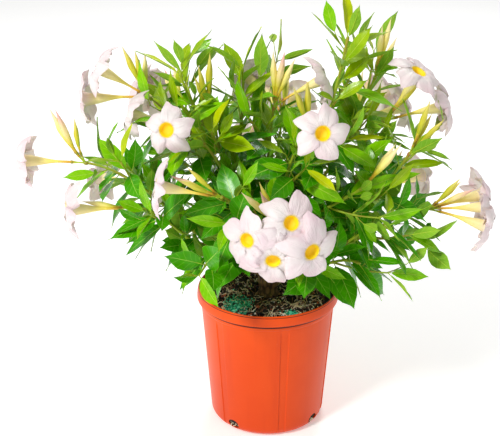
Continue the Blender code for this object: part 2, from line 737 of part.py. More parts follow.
def grow_twig(sprig, room, draw, node, way, turn):
    """A side twig from a leaf's axil, with two pairs of leaves."""
    side, rise = across(way)
    for _ in range(TWIG_TRIES):
        out = math.cos(turn) * side + math.sin(turn) * rise
        run = unit(way * 0.8 + out + UP * 0.35) * draw.uniform(*TWIG_REACH)
        shape = tube([node, node + run], TWIG_RADII, 3)
        tested = tube([node + run * 0.2, node + run], [1.5 * r for r in TWIG_RADII], 3)
        if room.free(tested) and room.free(shape, exempt=sprig.name):
            sprig.twigs.append(shape)
            room.take(shape, sprig.name)
            twist = draw.uniform(0, math.pi)
            for share, age in ((0.5, 0.62), (0.98, 0.22)):
                leaf_pair(sprig, room, draw, node + run * share, unit(run), twist, age)
                twist += math.pi / 2
            return
        turn += draw.uniform(0.5, 1.2)


def grow_leaves(sprig, room, draw):
    """Pairs of leaves along the stem, each pair a quarter turn from the last, and side twigs."""
    limb = sprig.limb
    blooming = "blooms" in SHOOTS[sprig.name]
    first = limb.split * limb.length + 9 * MM
    last = limb.length - (FLOWER_STALK_ROOM if blooming else 4 * MM)
    count = max(3, int(round((last - first) / INTERNODE)) + 1)
    turn = draw.uniform(0, math.pi)
    for k in range(count):
        along = 1 - (1 - k / (count - 1)) ** TIP_CROWDING
        share = (first + (last - first) * along) / limb.length
        age = min(1.0, (0.4 if blooming else 0.0) + (count - k) / 4.5)
        node, way = limb.at(share), limb.way(share)
        if k in TWIG_NODES and k < count - 1:
            grow_twig(sprig, room, draw, node, way, turn + math.pi / 2)
        leaf_pair(sprig, room, draw, node, way, turn, age)
        turn += math.pi / 2 + draw.uniform(-0.2, 0.2)


def grow_plant(fixed):
    """The limbs and the sprigs. Flowers take their places first, then leaves in turn."""
    room = Room()
    for shape in fixed:
        room.take(shape, "fixed")
    sprigs = [Sprig(limb) for limb in grow_limbs(room).values()]
    for k, sprig in enumerate(sprigs):
        grow_heads(sprig, room, random.Random(100 + k))
    for k, sprig in enumerate(sprigs):
        grow_leaves(sprig, room, random.Random(500 + k))
    return sprigs


def shape_of(obj):
    mesh = obj.data
    return [np.array(v.co) for v in mesh.vertices], [list(p.vertices) for p in mesh.polygons]


def make_bough(limb):
    name = "bough_" + limb.name
    finish = "green_bark" if "fork" in SHOOTS[limb.name] else "bark"
    mesh_object(name, limb.bough(), [material(name, finish)])


def fused(sprig, materials, draw):
    """One solid of a sprig's stem, twigs, leaves, flowers and buds, each moved by a hair."""
    kinds = [(shape, 0) for shape in sprig.twigs + sprig.leaves]
    kinds += [(shape, 1) for shape in sprig.flowers] + [(shape, 2) for shape in sprig.buds]
    body = mesh_object("foliage_" + sprig.name, sprig.limb.stem(), materials)
    others = []
    for (points, faces), slot in kinds:
        hair = np.array([draw.uniform(-1, 1) for _ in range(3)]) * HAIR
        others.append(mesh_object("piece", ([p + hair for p in points], faces), materials, slot))
    join(body, others, "UNION", "MANIFOLD")
    keep_main_body(body)
    return body


def make_foliage(sprig):
    """The solid of one sprig, fused again where three faces meet all but in one point."""
    materials = [material("foliage_" + sprig.name, finish) for finish in SPRIG_FINISHES]
    draw = random.Random(sprig.name)
    body = fused(sprig, materials, draw)
    for _ in range(FUSE_TRIES):
        if not pinched(body):
            break
        bpy.data.objects.remove(body, do_unlink=True)
        body = fused(sprig, materials, draw)


def main():
    clear_scene()
    fixed = [shape_of(obj) for obj in (make_pot(), make_mix(), make_foot())]
    sprigs = grow_plant(fixed)
    for sprig in sprigs:
        make_bough(sprig.limb)
        make_foliage(sprig)
    for kind in ("leaves", "flowers", "buds", "twigs"):
        print(kind, sum(len(getattr(sprig, kind)) for sprig in sprigs))


if __name__ == "__main__":
    main()
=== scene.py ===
import math
import random

import bpy
import numpy as np
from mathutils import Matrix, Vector
from mathutils.bvhtree import BVHTree


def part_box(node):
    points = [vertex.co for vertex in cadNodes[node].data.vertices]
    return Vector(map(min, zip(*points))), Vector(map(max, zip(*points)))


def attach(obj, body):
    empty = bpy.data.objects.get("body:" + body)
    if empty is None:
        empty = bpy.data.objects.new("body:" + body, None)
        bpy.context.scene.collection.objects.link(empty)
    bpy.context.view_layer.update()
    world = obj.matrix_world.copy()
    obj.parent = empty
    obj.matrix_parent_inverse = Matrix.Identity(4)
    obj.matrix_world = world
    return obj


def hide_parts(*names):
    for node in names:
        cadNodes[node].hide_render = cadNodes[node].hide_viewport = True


# Potted dipladenia, in metres: +Z up, the plant's front towards -Y, azimuths turned from the front to +X.
mm = 0.001
up = np.array([0.0, 0.0, 1.0])

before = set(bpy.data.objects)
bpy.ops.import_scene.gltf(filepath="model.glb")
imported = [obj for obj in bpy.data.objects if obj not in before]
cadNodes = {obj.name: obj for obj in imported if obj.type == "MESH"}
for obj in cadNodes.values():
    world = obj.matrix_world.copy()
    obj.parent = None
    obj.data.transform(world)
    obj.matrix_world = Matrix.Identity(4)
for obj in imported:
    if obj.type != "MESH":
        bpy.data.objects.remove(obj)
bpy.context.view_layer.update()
print("frame:", len(cadNodes), "nodes")


# Small helpers

def unit(v):
    return v / np.linalg.norm(v, axis=-1, keepdims=True)


def ease(low, high, x):  # 0 below low, 1 above high, a smooth S between
    t = np.clip((x - low) / (high - low), 0, 1)
    return t * t * (3 - 2 * t)


def between(a, b, t):  # a where t is 0, b where t is 1
    return a + (b - a) * t


def circle(count):  # angles at even steps, once round
    return 2 * np.pi * np.arange(count) / count


def gathered(items, key):  # one value of every item, as an array
    return np.array([item[key] for item in items])


def linked(name, data):  # a new object in the scene
    obj = bpy.data.objects.new(name, data)
    bpy.context.scene.collection.objects.link(obj)
    return obj


def heading(azimuth, elevation):  # the direction at these angles, in degrees
    a, e = math.radians(azimuth), math.radians(elevation)
    return np.array([math.sin(a) * math.cos(e), -math.cos(a) * math.cos(e), math.sin(e)])


def across(direction):  # two directions square to this one: a level one, and the one nearest to upwards
    side = np.cross(direction, up)
    if np.linalg.norm(side) < 1e-3:
        side = np.array([1.0, 0.0, 0.0])
    side = unit(side)
    return side, unit(np.cross(side, direction))


def turned(v, axis, degrees):
    a = math.radians(degrees)
    return v * math.cos(a) + np.cross(axis, v) * math.sin(a) + axis * axis.dot(v) * (1 - math.cos(a))


def evenly(points, count):  # the same curve as count points at even distances along it
    run = np.concatenate([[0], np.cumsum(np.linalg.norm(np.diff(points, axis=0), axis=1))])
    wanted = np.linspace(0, run[-1], count)
    return np.stack([np.interp(wanted, run, points[:, k]) for k in range(3)], axis=1)


def bezier(start, startWay, end, endWay, count):  # leaves start along startWay, meets end along endWay
    t = np.linspace(0, 1, 60)[:, None]
    a, d = start + startWay, end - endWay
    curve = start * (1 - t) ** 3 + a * 3 * t * (1 - t) ** 2 + d * 3 * t**2 * (1 - t) + end * t**3
    return evenly(curve, count)


# Meshes from whole arrays

def cells(rows, columns, wrap=False):  # the corners of each cell of a grid of points
    r = np.arange(rows - 1)[:, None]
    c = np.arange(columns if wrap else columns - 1)[None]
    n = (c + 1) % columns
    corners = [r * columns + c, r * columns + n, (r + 1) * columns + n, (r + 1) * columns + c]
    return np.stack(np.broadcast_arrays(*corners), -1).reshape(-1, 4)


class Sheaf:  # gathers surfaces of one kind, then joins them as one mesh
    def __init__(self, name, paints):
        self.name, self.paints, self.total = name, paints, 0
        self.points, self.faces, self.maps, self.slots = [], {4: [], 3: []}, {4: [], 3: []}, {4: [], 3: []}

    def put(self, faces, maps, slots):
        corners = faces.shape[-1]
        self.faces[corners].append(faces.reshape(-1, corners))
        self.maps[corners].append(np.broadcast_to(maps, (*faces.shape, 2)).reshape(-1, corners, 2))
        self.slots[corners].append(np.broadcast_to(slots, faces.shape[:-1]).reshape(-1))

    def tubes(self, hoops, slots=0, mapped=None):
        # hoops is (tubes, rows, points round, 3), counted anticlockwise as seen from the tube's front.
        # mapped is each row's place in the map; slots is a number, or one for each (tube, row of cells).
        count, rows, sides = hoops.shape[:3]
        ends = hoops[:, [0, -1]].mean(2)
        perTube = rows * sides + 2
        points = np.concatenate([hoops.reshape(count, -1, 3), ends], 1)
        offset = self.total + perTube * np.arange(count)[:, None, None]
        faces = cells(rows, sides, wrap=True)[None] + offset
        mapped = np.linspace(0, 1, rows) if mapped is None else mapped
        turns = np.arange(sides + 1) / sides
        plan = np.stack(np.broadcast_arrays(turns[None, :], mapped[:, None]), -1).reshape(-1, 2)
        slots = np.broadcast_to(slots, (count, rows - 1))
        self.put(faces, plan[cells(rows, sides + 1)], np.repeat(slots, sides, axis=1))
        c = np.arange(sides)
        n = (c + 1) % sides
        last = (rows - 1) * sides
        for pole, fan, row in ((rows * sides, (n, c), 0), (rows * sides + 1, (last + c, last + n), -1)):
            caps = np.stack([np.full(sides, pole), *fan], -1)[None] + offset
            middle = np.stack([np.full((sides, 3), 0.5), np.full((sides, 3), mapped[row])], -1)
            self.put(caps, middle, slots[:, row][:, None])
        self.points.append(points.reshape(-1, 3))
        self.total += count * perTube

    def blades(self, top, thickness, slots=0, underSlots=0):
        # top is (blades, rows, columns, 3); the under side lies a thickness below it and shares its rim
        count, rows, columns = top.shape[:3]
        facing = unit(np.cross(np.gradient(top, axis=1), np.gradient(top, axis=2)))
        under = (top - facing * thickness)[:, 1:-1, 1:-1]
        index = np.arange(rows * columns).reshape(rows, columns)
        below = index.copy()
        below[1:-1, 1:-1] = rows * columns + np.arange((rows - 2) * (columns - 2)).reshape(rows - 2, -1)
        perBlade = below.max() + 1
        points = np.concatenate([top.reshape(count, -1, 3), under.reshape(count, -1, 3)], 1)
        offset = self.total + perBlade * np.arange(count)[:, None, None]
        grid = cells(rows, columns)
        plan = np.stack(np.meshgrid(np.linspace(0, 1, columns), np.linspace(0, 1, rows)), -1).reshape(-1, 2)
        slots, underSlots = (np.reshape(s, (-1, 1)) for s in (slots, underSlots))
        flipped = grid[:, [0, 3, 2, 1]]  # the same diagonal as below, so that the two skins never cross
        self.put(index.reshape(-1)[flipped][None] + offset, plan[flipped], slots)
        self.put(below.reshape(-1)[grid][None] + offset, plan[grid], underSlots)
        self.points.append(points.reshape(-1, 3))
        self.total += count * perBlade

    def join(self, sharp=None, replaced=()):
        points = np.concatenate(self.points)
        kinds = [k for k in (4, 3) if self.faces[k]]
        faces = {k: np.concatenate(self.faces[k]) for k in kinds}
        starts, run = [], 0
        for k in kinds:
            starts.append(run + k * np.arange(len(faces[k])))
            run += faces[k].size
        mesh = bpy.data.meshes.new(self.name)
        mesh.vertices.add(len(points))
        mesh.vertices.foreach_set("co", points.astype(np.float32).ravel())
        mesh.loops.add(run)
        corners = np.concatenate([faces[k].ravel() for k in kinds])
        mesh.loops.foreach_set("vertex_index", corners.astype(np.int32))
        mesh.polygons.add(sum(len(s) for s in starts))
        mesh.polygons.foreach_set("loop_start", np.concatenate(starts).astype(np.int32))
        slots = np.concatenate([np.concatenate(self.slots[k]) for k in kinds])
        mesh.polygons.foreach_set("material_index", slots.astype(np.int32))
        maps = np.concatenate([np.concatenate(self.maps[k]).ravel() for k in kinds])
        mesh.uv_layers.new(name="plan").data.foreach_set("uv", maps.astype(np.float32))
        for paint in self.paints:
            mesh.materials.append(paint)
        mesh.update(calc_edges=True)
        mesh.validate()
        mesh.shade_smooth()
        if sharp:
            mesh.set_sharp_from_angle(angle=math.radians(sharp))
        obj = linked(self.name, mesh)
        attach(obj, "root")
        if replaced:
            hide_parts(*replaced)
        print(self.name, len(mesh.vertices), "points,", len(mesh.polygons), "faces")
        return obj


def along(values, stations):  # (paths, points, 3) read at shares of the length
    place = np.clip(stations, 0, 1) * (values.shape[1] - 1)
    low = np.minimum(place.astype(int), values.shape[1] - 2)
    part = (place - low)[:, None]
    return values[:, low] * (1 - part) + values[:, low + 1] * part


def rings(paths, stations, radii, sides, roll=0.0):
    # centre + radius (cos a side + sin a other), with side square to the path and in the plane of its bend
    ways = unit(np.gradient(paths, axis=1))
    first, last = ways[:, :1], ways[:, -1:]
    spare = np.where(np.abs(first[..., 2:]) < 0.8, up, np.array([1.0, 0.0, 0.0]))
    bend = np.cross(first, last)
    bend = unit(np.where(np.linalg.norm(bend, axis=-1, keepdims=True) > 0.08, bend, np.cross(first, spare)))
    centre, way = along(paths, stations), unit(along(ways, stations))
    side = unit(np.cross(bend, way))[:, :, None]
    other = np.cross(way[:, :, None], side)
    a = (np.reshape(roll, (-1, 1, 1)) + circle(sides))[..., None]
    radii = radii if radii.ndim == 3 else radii[:, :, None]
    return centre[:, :, None] + radii[..., None] * (np.cos(a) * side + np.sin(a) * other)


def lumps(x, y, size, seed, waves=14):  # a sum of level waves in seeded directions, about -1 to 1
    draw = np.random.default_rng(seed)
    angle, phase, pace = draw.uniform(0, 2 * np.pi, (3, waves))
    k = 2 * np.pi / size * (0.6 + 0.8 * pace / (2 * np.pi))
    flat = (np.asarray(x)[..., None] * np.cos(angle) + np.asarray(y)[..., None] * np.sin(angle)) * k
    return np.sin(flat + phase).sum(-1) / math.sqrt(waves)


# Paints. A Wire is a socket that can be written into sums.

class Wire:
    def __init__(self, paint, socket):
        self.paint, self.socket = paint, socket

    def math(self, operation, *values):
        return self.paint.node("ShaderNodeMath", {"operation": operation}, dict(enumerate(values)))

    def __add__(self, other):
        return self.math("ADD", self, other)

    def __sub__(self, other):
        return self.math("SUBTRACT", self, other)

    def __rsub__(self, other):
        return self.math("SUBTRACT", other, self)

    def __mul__(self, other):
        return self.math("MULTIPLY", self, other)

    def __abs__(self):
        return self.math("ABSOLUTE", self)

    def fraction(self):
        return self.math("FRACT", self)

    __radd__, __rmul__ = __add__, __mul__


def tone(red, green, blue):  # a colour on the usual 0 to 255 scale, as Blender's own linear values
    c = np.array([red, green, blue]) / 255
    return (*np.where(c <= 0.04045, c / 12.92, ((c + 0.055) / 1.055) ** 2.4).tolist(), 1.0)


class Paint:
    def __init__(self, name, roughness, **fixed):
        self.material = bpy.data.materials.new(name)
        self.material.use_nodes = True
        self.tree = self.material.node_tree
        self.shader = self.tree.nodes["Principled BSDF"]
        for socket, value in {"Roughness": roughness, **fixed}.items():
            self.feed(self.shader.inputs[socket.replace("_", " ")], value)

    def feed(self, socket, value):
        if isinstance(value, Wire):
            self.tree.links.new(value.socket, socket)
        else:
            socket.default_value = value

    def node(self, kind, settings=None, sockets=None, out=0):
        made = self.tree.nodes.new(kind)
        for key, value in (settings or {}).items():
            setattr(made, key, value)
        for key, value in (sockets or {}).items():
            self.feed(made.inputs[key], value)
        return Wire(self, made.outputs[out])

    def place(self):
        return self.node("ShaderNodeTexCoord", out="Object")

    def plan(self):  # the map's two parameters
        uv = self.node("ShaderNodeUVMap", {"uv_map": "plan"})
        return [self.node("ShaderNodeSeparateXYZ", sockets={0: uv}, out=k) for k in (0, 1)]

    def strips(self, scale):  # the map's own place, scaled to run in strips
        return self.node("ShaderNodeMapping", sockets={
            "Vector": self.node("ShaderNodeUVMap", {"uv_map": "plan"}), "Scale": scale
        })

    def stretched(self, scale):
        return self.node("ShaderNodeMapping", sockets={"Vector": self.place(), "Scale": scale})

    def noise(self, scale, detail=3.0, roughness=0.55, where=None):
        where = where or self.place()
        sockets = {"Vector": where, "Scale": scale, "Detail": detail, "Roughness": roughness}
        return self.node("ShaderNodeTexNoise", sockets=sockets, out="Fac")

    def grains(self, scale, where=None):  # distance to the nearest of scattered points
        return self.node("ShaderNodeTexVoronoi", sockets={"Vector": where or self.place(), "Scale": scale})

    def ramp(self, value, low, high):  # 0 below low, 1 above high, a smooth S between
        sockets = {"Value": value, "From Min": low, "From Max": high}
        return self.node("ShaderNodeMapRange", {"interpolation_type": "SMOOTHSTEP"}, sockets)

    def blend(self, a, b, mask):
        return self.node("ShaderNodeMix", {"data_type": "RGBA"}, {0: mask, 6: a, 7: b}, out=2)

    def finish(self, colour, relief=None, depth=0.3 * mm, roughness=None):
        self.feed(self.shader.inputs["Base Color"], colour)
        if relief is not None:
            sockets = {"Height": relief, "Distance": depth, "Strength": 1.0}
            self.feed(self.shader.inputs["Normal"], self.node("ShaderNodeBump", sockets=sockets))
        if roughness is not None:
            self.feed(self.shader.inputs["Roughness"], roughness)
        return self.material


# The shoots, as in the source: where each tip is (azimuth, reach and height in mm), the elevation it
# points at, the shoot it forks from, its open flowers as (azimuth, elevation), its buds as
# (count, azimuth, elevation).
shoots = {
    "left_long": dict(tip=(-84, 264, 424), lean=10, blooms=[(-89, 2)], buds=(3, -100, 74)),
    "left_low": dict(tip=(-72, 202, 368), lean=0, fork="left_long", blooms=[(-78, 4)], buds=(1, -84, 12)),
    "upper_left": dict(tip=(-92, 170, 510), lean=35, blooms=[(-92, 30), (-96, -6)], buds=(3, -98, 78)),
    "top_left": dict(tip=(-88, 126, 552), lean=80, fork="upper_left"),
    "left_face": dict(tip=(-72, 118, 474), lean=35, fork="upper_left", blooms=[(-14, 16), (-106, 8)]),
    "front_left": dict(tip=(-26, 148, 412), lean=22, blooms=[(-86, 12)], buds=(3, -78, 34)),
    "front_left_low": dict(tip=(-50, 136, 302), lean=0, fork="front_left"),
    "top_centre": dict(tip=(60, 8, 498), lean=82, blooms=[(92, 26), (-150, 12)], buds=(4, 70, 79)),
    "centre_left": dict(tip=(-118, 44, 552), lean=80, fork="top_centre"),
    "centre_buds": dict(tip=(-92, 84, 486), lean=70, fork="top_centre", buds=(3, -80, 80)),
    "top_right": dict(tip=(80, 110, 606), lean=80),
    "right_spire": dict(tip=(108, 164, 528), lean=64, fork="top_right", buds=(3, 96, 74)),
    "front_centre": dict(tip=(40, 80, 480), lean=48, blooms=[(9, 14)], buds=(3, -40, 76)),
    "right_mid": dict(tip=(58, 152, 404), lean=36, fork="front_centre", buds=(2, 82, 52)),
    "right_top": dict(tip=(97, 168, 470), lean=40, blooms=[(60, 60), (91, 12)], buds=(1, 96, 50)),
    "right_upper": dict(tip=(80, 203, 440), lean=58, fork="right_top", buds=(3, 86, 62)),
    "right_cluster": dict(
        tip=(81, 232, 356), lean=14, blooms=[(88, 2), (72, -14), (110, 8)], buds=(3, 86, 42)
    ),
    "right_low": dict(tip=(62, 190, 350), lean=8, fork="right_cluster"),
    "right_droop": dict(tip=(50, 168, 302), lean=-10, fork="right_cluster"),
    "front_low": dict(
        tip=(5, 108, 362), lean=16, blooms=[(-31, 5), (14, 24), (30, -4), (-5, -15)], buds=(3, -52, 58)
    ),
    "front_skirt": dict(tip=(32, 118, 296), lean=-20, fork="front_low"),
    "back_left": dict(tip=(-140, 200, 440), lean=30, blooms=[(-142, 8), (-114, 24)], buds=(3, -130, 62)),
    "back_left_low": dict(
        tip=(-116, 205, 340), lean=4, fork="back_left", blooms=[(-120, 0)], buds=(2, -118, 40)
    ),
    "back": dict(tip=(172, 176, 430), lean=30, blooms=[(164, 0), (-162, 8)], buds=(3, 178, 52)),
    "back_low": dict(tip=(-172, 208, 346), lean=4, fork="back", blooms=[(-174, 2)], buds=(2, -170, 44)),
    "back_right": dict(tip=(132, 170, 440), lean=24, blooms=[(100, 10), (138, 16)], buds=(2, 128, 64)),
    "back_right_low": dict(
        tip=(122, 205, 330), lean=2, fork="back_right", blooms=[(124, 4)], buds=(2, 118, 42)
    ),
}
gap = 0.35 * mm
mixTop = 203 * mm
limbRule = dict(
    footLean=3 * mm, knobRadius=17.5 * mm, knobHeight=27 * mm, knobSpread=30,
    mainRadius=3.7 * mm, mainSplit=0.36, sideRadius=3.0 * mm, sideSplit=0.26,
    forkShares=(0.30, 0.17), tipRadius=1.6 * mm, stemParts=5, steps=48,
    clearance=4 * mm, tries=15, bend=14,
)
leafRule = dict(
    length=84 * mm, width=0.45, ridge=1.9 * mm, ridgeRise=0.12, grownEdge=[(0.31, 0.90), (0.67, 0.76)],
    youngEdge=[(0.44, 0.92)], youngAge=0.5, spread=(28, 66), sag=0.34, arch=0.26, tries=5,
    internode=33 * mm, tipCrowding=1.35, stalkRoom=34 * mm,
)
twigRule = dict(nodes=(1, 3), reach=(52 * mm, 84 * mm), radii=[1.8 * mm, 1.4 * mm], tries=4)
headRule = dict(
    flowerLength=92 * mm, flowerRadius=41 * mm, tube=[(0.0, 1.4 * mm), (0.50, 2.4 * mm), (0.94, 9.8 * mm)],
    lobe=[(-36, 0.42, 0.0), (-20, 0.90, 2.5 * mm), (16, 1.0, 6 * mm)], throat=8.4 * mm, throatShare=0.78,
    budLength=88 * mm, budTube=[(0.0, 1.3 * mm), (0.42, 2.0 * mm), (0.72, 5.4 * mm)], budFan=13,
    steps=12, tries=8, knuckle=3.6 * mm,
)


def ringAt(centre, way, radius, count, turn=0.0):
    side = across(way)[0]
    a = (turn + circle(count))[:, None]
    return centre + radius * (np.cos(a) * side + np.sin(a) * np.cross(way, side))


def plainTube(path, radii, sides, footNormal=None):  # the source's own tube, for testing places
    path = np.asarray(path)
    ways = unit(np.gradient(path, axis=0))
    a = circle(sides)[:, None]
    side, points = across(ways[0])[0], []
    for i, (centre, way) in enumerate(zip(path, ways)):
        side = unit(side - way * side.dot(way))
        ring = centre + radii[i] * (np.cos(a) * side + np.sin(a) * np.cross(way, side))
        if i == 0 and footNormal is not None:
            ring = ring - way * ((ring - centre) @ footNormal)[:, None] / way.dot(footNormal)
        points.append(ring)
    last = (len(path) - 1) * sides
    ends = [list(range(sides))[::-1], list(range(last, last + sides))]
    return np.concatenate(points), cells(len(path), sides, wrap=True).tolist() + ends


def tipOf(shoot):
    azimuth, reach, height = shoot["tip"]
    return heading(azimuth, 0) * reach * mm + up * height * mm


def knobCentre():
    return np.array([limbRule["footLean"], 0.0, mixTop + gap + limbRule["knobHeight"]])


def knobDirections():  # each main bough leaves the knob towards its tip, spread so that none crowd
    names = [name for name, shoot in shoots.items() if "fork" not in shoot]
    ways = [unit(tipOf(shoots[name]) - knobCentre()) for name in names]
    least = math.radians(limbRule["knobSpread"])
    for _ in range(80):
        for i in range(len(ways)):
            for j in range(i):
                angle = math.acos(max(-1.0, min(1.0, float(ways[i].dot(ways[j])))))
                if angle < least:
                    push = (ways[i] - ways[j]) * (least - angle) * 0.5 / max(angle, 0.05)
                    ways[i], ways[j] = unit(ways[i] + push), unit(ways[j] - push)
        ways = [unit(np.array([w[0], w[1], max(w[2], 0.12)])) for w in ways]
    return dict(zip(names, ways))


class Limb:  # one shoot's path from its fork to its tip
    def __init__(self, name, start, footNormal, startWay):
        shoot = shoots[name]
        self.name, self.footNormal, self.isSide = name, footNormal, "fork" in shoot
        kind = "side" if self.isSide else "main"
        self.baseRadius, self.split = limbRule[kind + "Radius"], limbRule[kind + "Split"]
        self.facets = (3, 5) if self.isSide else (5, 6)
        tip = tipOf(shoot)
        reach = np.linalg.norm(tip - start)
        endWay = heading(shoot["tip"][0], shoot["lean"]) * reach * 0.30
        self.path = bezier(start, startWay * reach * 0.34, tip, endWay, limbRule["steps"] + 1)
        self.length = float(np.linalg.norm(np.diff(self.path, axis=0), axis=1).sum())

    def at(self, share):
        place = share * limbRule["steps"]
        i = min(int(place), limbRule["steps"] - 1)
        return between(self.path[i], self.path[i + 1], place - i)

    def way(self, share):
        i = min(int(share * limbRule["steps"]), limbRule["steps"] - 1)
        return unit(self.path[i + 1] - self.path[i])

    def radius(self, share):
        return between(self.baseRadius, limbRule["tipRadius"], share**0.7)

    def piece(self, low, high, parts, sides, footNormal=None, more=0.0):
        shares = np.linspace(low, high, parts + 1)
        path = [self.at(s) for s in shares]
        return plainTube(path, [self.radius(s) + more for s in shares], sides, footNormal)

    def bough(self):
        return self.piece(0, self.split, *self.facets, self.footNormal)

    def stem(self):
        return self.piece(self.split + gap / self.length, 1, limbRule["stemParts"], 3)

    def clearOf(self, room):
        away = self.piece(0.15, 1, 2 * limbRule["stemParts"], 5, more=limbRule["clearance"])
        return all(room.free(shape) for shape in (away, self.bough(), self.stem()))


class Room:  # the pieces that have their place so far
    def __init__(self):
        self.centres, self.reaches, self.trees, self.owners = [], [], [], []

    def take(self, shape, owner):
        points = np.array(shape[0])
        centre = (points.min(0) + points.max(0)) / 2
        self.centres.append(centre)
        self.reaches.append(np.linalg.norm(points - centre, axis=1).max())
        self.trees.append(BVHTree.FromPolygons(points.tolist(), shape[1]))
        self.owners.append(owner)

    def free(self, shape, exempt=""):  # whether the shape crosses nothing but the exempt sprig's pieces
        points = np.array(shape[0])
        centre = (points.min(0) + points.max(0)) / 2
        reach = np.linalg.norm(points - centre, axis=1).max()
        apart = np.linalg.norm(np.array(self.centres) - centre, axis=1)
        near = np.nonzero(apart < np.array(self.reaches) + reach)[0]
        tree = BVHTree.FromPolygons(points.tolist(), shape[1])
        return not any(tree.overlap(self.trees[i]) for i in near if self.owners[i] != exempt)


def growLimb(name, limbs, knobWays, forks, room):
    shoot = shoots[name]
    for attempt in range(limbRule["tries"]):
        bend = (attempt + 1) // 2 * (-1) ** attempt
        if "fork" in shoot:
            parent = limbs[shoot["fork"]]
            share = limbRule["forkShares"][forks.count(shoot["fork"])]
            way, point = parent.way(share), parent.at(share)
            towards = tipOf(shoot) - point
            normal = turned(unit(towards - way * towards.dot(way)), way, limbRule["bend"] * bend)
            start = point + normal * (parent.radius(share) + gap)
            limb = Limb(name, start, normal, unit(normal + way * 0.7))
        else:
            way = knobWays[name]
            start = knobCentre() + way * (limbRule["knobRadius"] + gap)
            limb = Limb(name, start, way, unit(way + 0.12 * bend * across(way)[0]))
        if limb.clearOf(room):
            break
    return limb


def growLimbs(room):
    limbs, forks, knobWays = {}, [], knobDirections()
    for name in sorted(shoots, key=lambda shoot: "fork" in shoots[shoot]):
        limbs[name] = growLimb(name, limbs, knobWays, forks, room)
        forks.append(shoots[name].get("fork"))
        room.take(limbs[name].bough(), "boughs")
        room.take(limbs[name].stem(), name)
    return limbs


def leafShape(leaf, edge, start=0.0):  # the source's plain leaf: an arched blade with a low ridge
    side = unit(np.cross(leaf["normal"], leaf["way"]))
    outline = np.array([(start, 0), *[(s, -y) for s, y in edge], (1, 0), *edge[::-1]] + [(0.46, 0)])
    count = len(outline) - 1
    length, s = leaf["length"], outline[:, :1]
    lift = -leaf["arch"] * length * s**2
    lift[-1] += leafRule["ridge"] + leafRule["ridgeRise"] * leaf["arch"] * length
    points = leaf["root"] + leaf["way"] * s * length + np.cross(leaf["way"], side) * lift
    points = points + side * outline[:, 1:] * length * leafRule["width"] / 2
    faces = [[k, (k + 1) % count, count] for k in range(count)] + [[count - 1, 1, 0]]
    faces += [[k + 1, k, count - k, count - k - 1] for k in range(1, count // 2 - 1)]
    return points, faces + [[count // 2, count // 2 - 1, count // 2 + 1]]


def ringsAlong(path, stations, sides, size, roll=0.0):
    last, points = len(path) - 1, []
    for share, radius in stations:
        i = int(round(share * last))
        way = unit(path[min(i + 1, last)] - path[max(i - 1, 0)])
        points.append(ringAt(path[i], way, radius * size, sides, roll))
    return points, cells(len(points), sides, wrap=True).tolist()


def flowerShape(path, roll, size):  # the source's plain trumpet with five lobes
    points, sides = ringsAlong(path, headRule["tube"], 5, size, roll)
    mouth, way = path[-1], unit(path[-1] - path[-3])
    side = across(way)[0]
    other = np.cross(way, side)
    lobes = np.array([
        (72 * k + 36 + angle, reach, back) for k in range(5) for angle, reach, back in headRule["lobe"]
    ])
    a = roll + np.radians(lobes[:, :1])
    out = np.cos(a) * side + np.sin(a) * other
    points.append(mouth + out * lobes[:, 1:2] * headRule["flowerRadius"] * size - way * lobes[:, 2:])
    points.append(ringAt(mouth + way * 1.2 * mm, way, headRule["throat"] * size, 5, roll))
    points.append(path[int(len(path) * headRule["throatShare"])][None])
    faces = [[4, 3, 2, 1, 0]] + sides
    for k in range(5):
        n = (k + 1) % 5
        edge = [15 + 3 * k, 16 + 3 * k, 17 + 3 * k, 15 + 3 * n]
        for first, atFront in ((10, False), (30, True)):
            here, there = first + k, first + n
            fan = [
                [here, edge[1], edge[0]], [here, edge[2], edge[1]],
                [here, there, edge[2]], [there, edge[3], edge[2]],
            ]
            faces += [face[::-1] if atFront else face for face in fan]
        faces.append([30 + k, 30 + n, 35])
    return np.concatenate(points), faces


def budShape(path, size):
    points, sides = ringsAlong(path, headRule["budTube"], 3, size)
    tip = [[6 + k, 6 + (k + 1) % 3, 9] for k in range(3)]
    return np.concatenate([*points, path[-1:]]), [[2, 1, 0], *sides, *tip]


class Sprig:  # what one mass of foliage holds
    def __init__(self, limb):
        self.limb, self.name = limb, limb.name
        self.twigs, self.leaves, self.flowers, self.buds, self.joints = [], [], [], [], []


def headsOf(shoot, draw):
    heads = [(True, *bloom) for bloom in shoot.get("blooms", [])]
    count, azimuth, elevation = shoot.get("buds", (0, 0, 0))
    for k in range(count):
        turn = math.radians(360 * k / count + draw.uniform(-20, 20))
        fan = headRule["budFan"] if count > 1 else 0
        heads.append((False, azimuth + 1.6 * fan * math.cos(turn), elevation + fan * math.sin(turn)))
    return heads


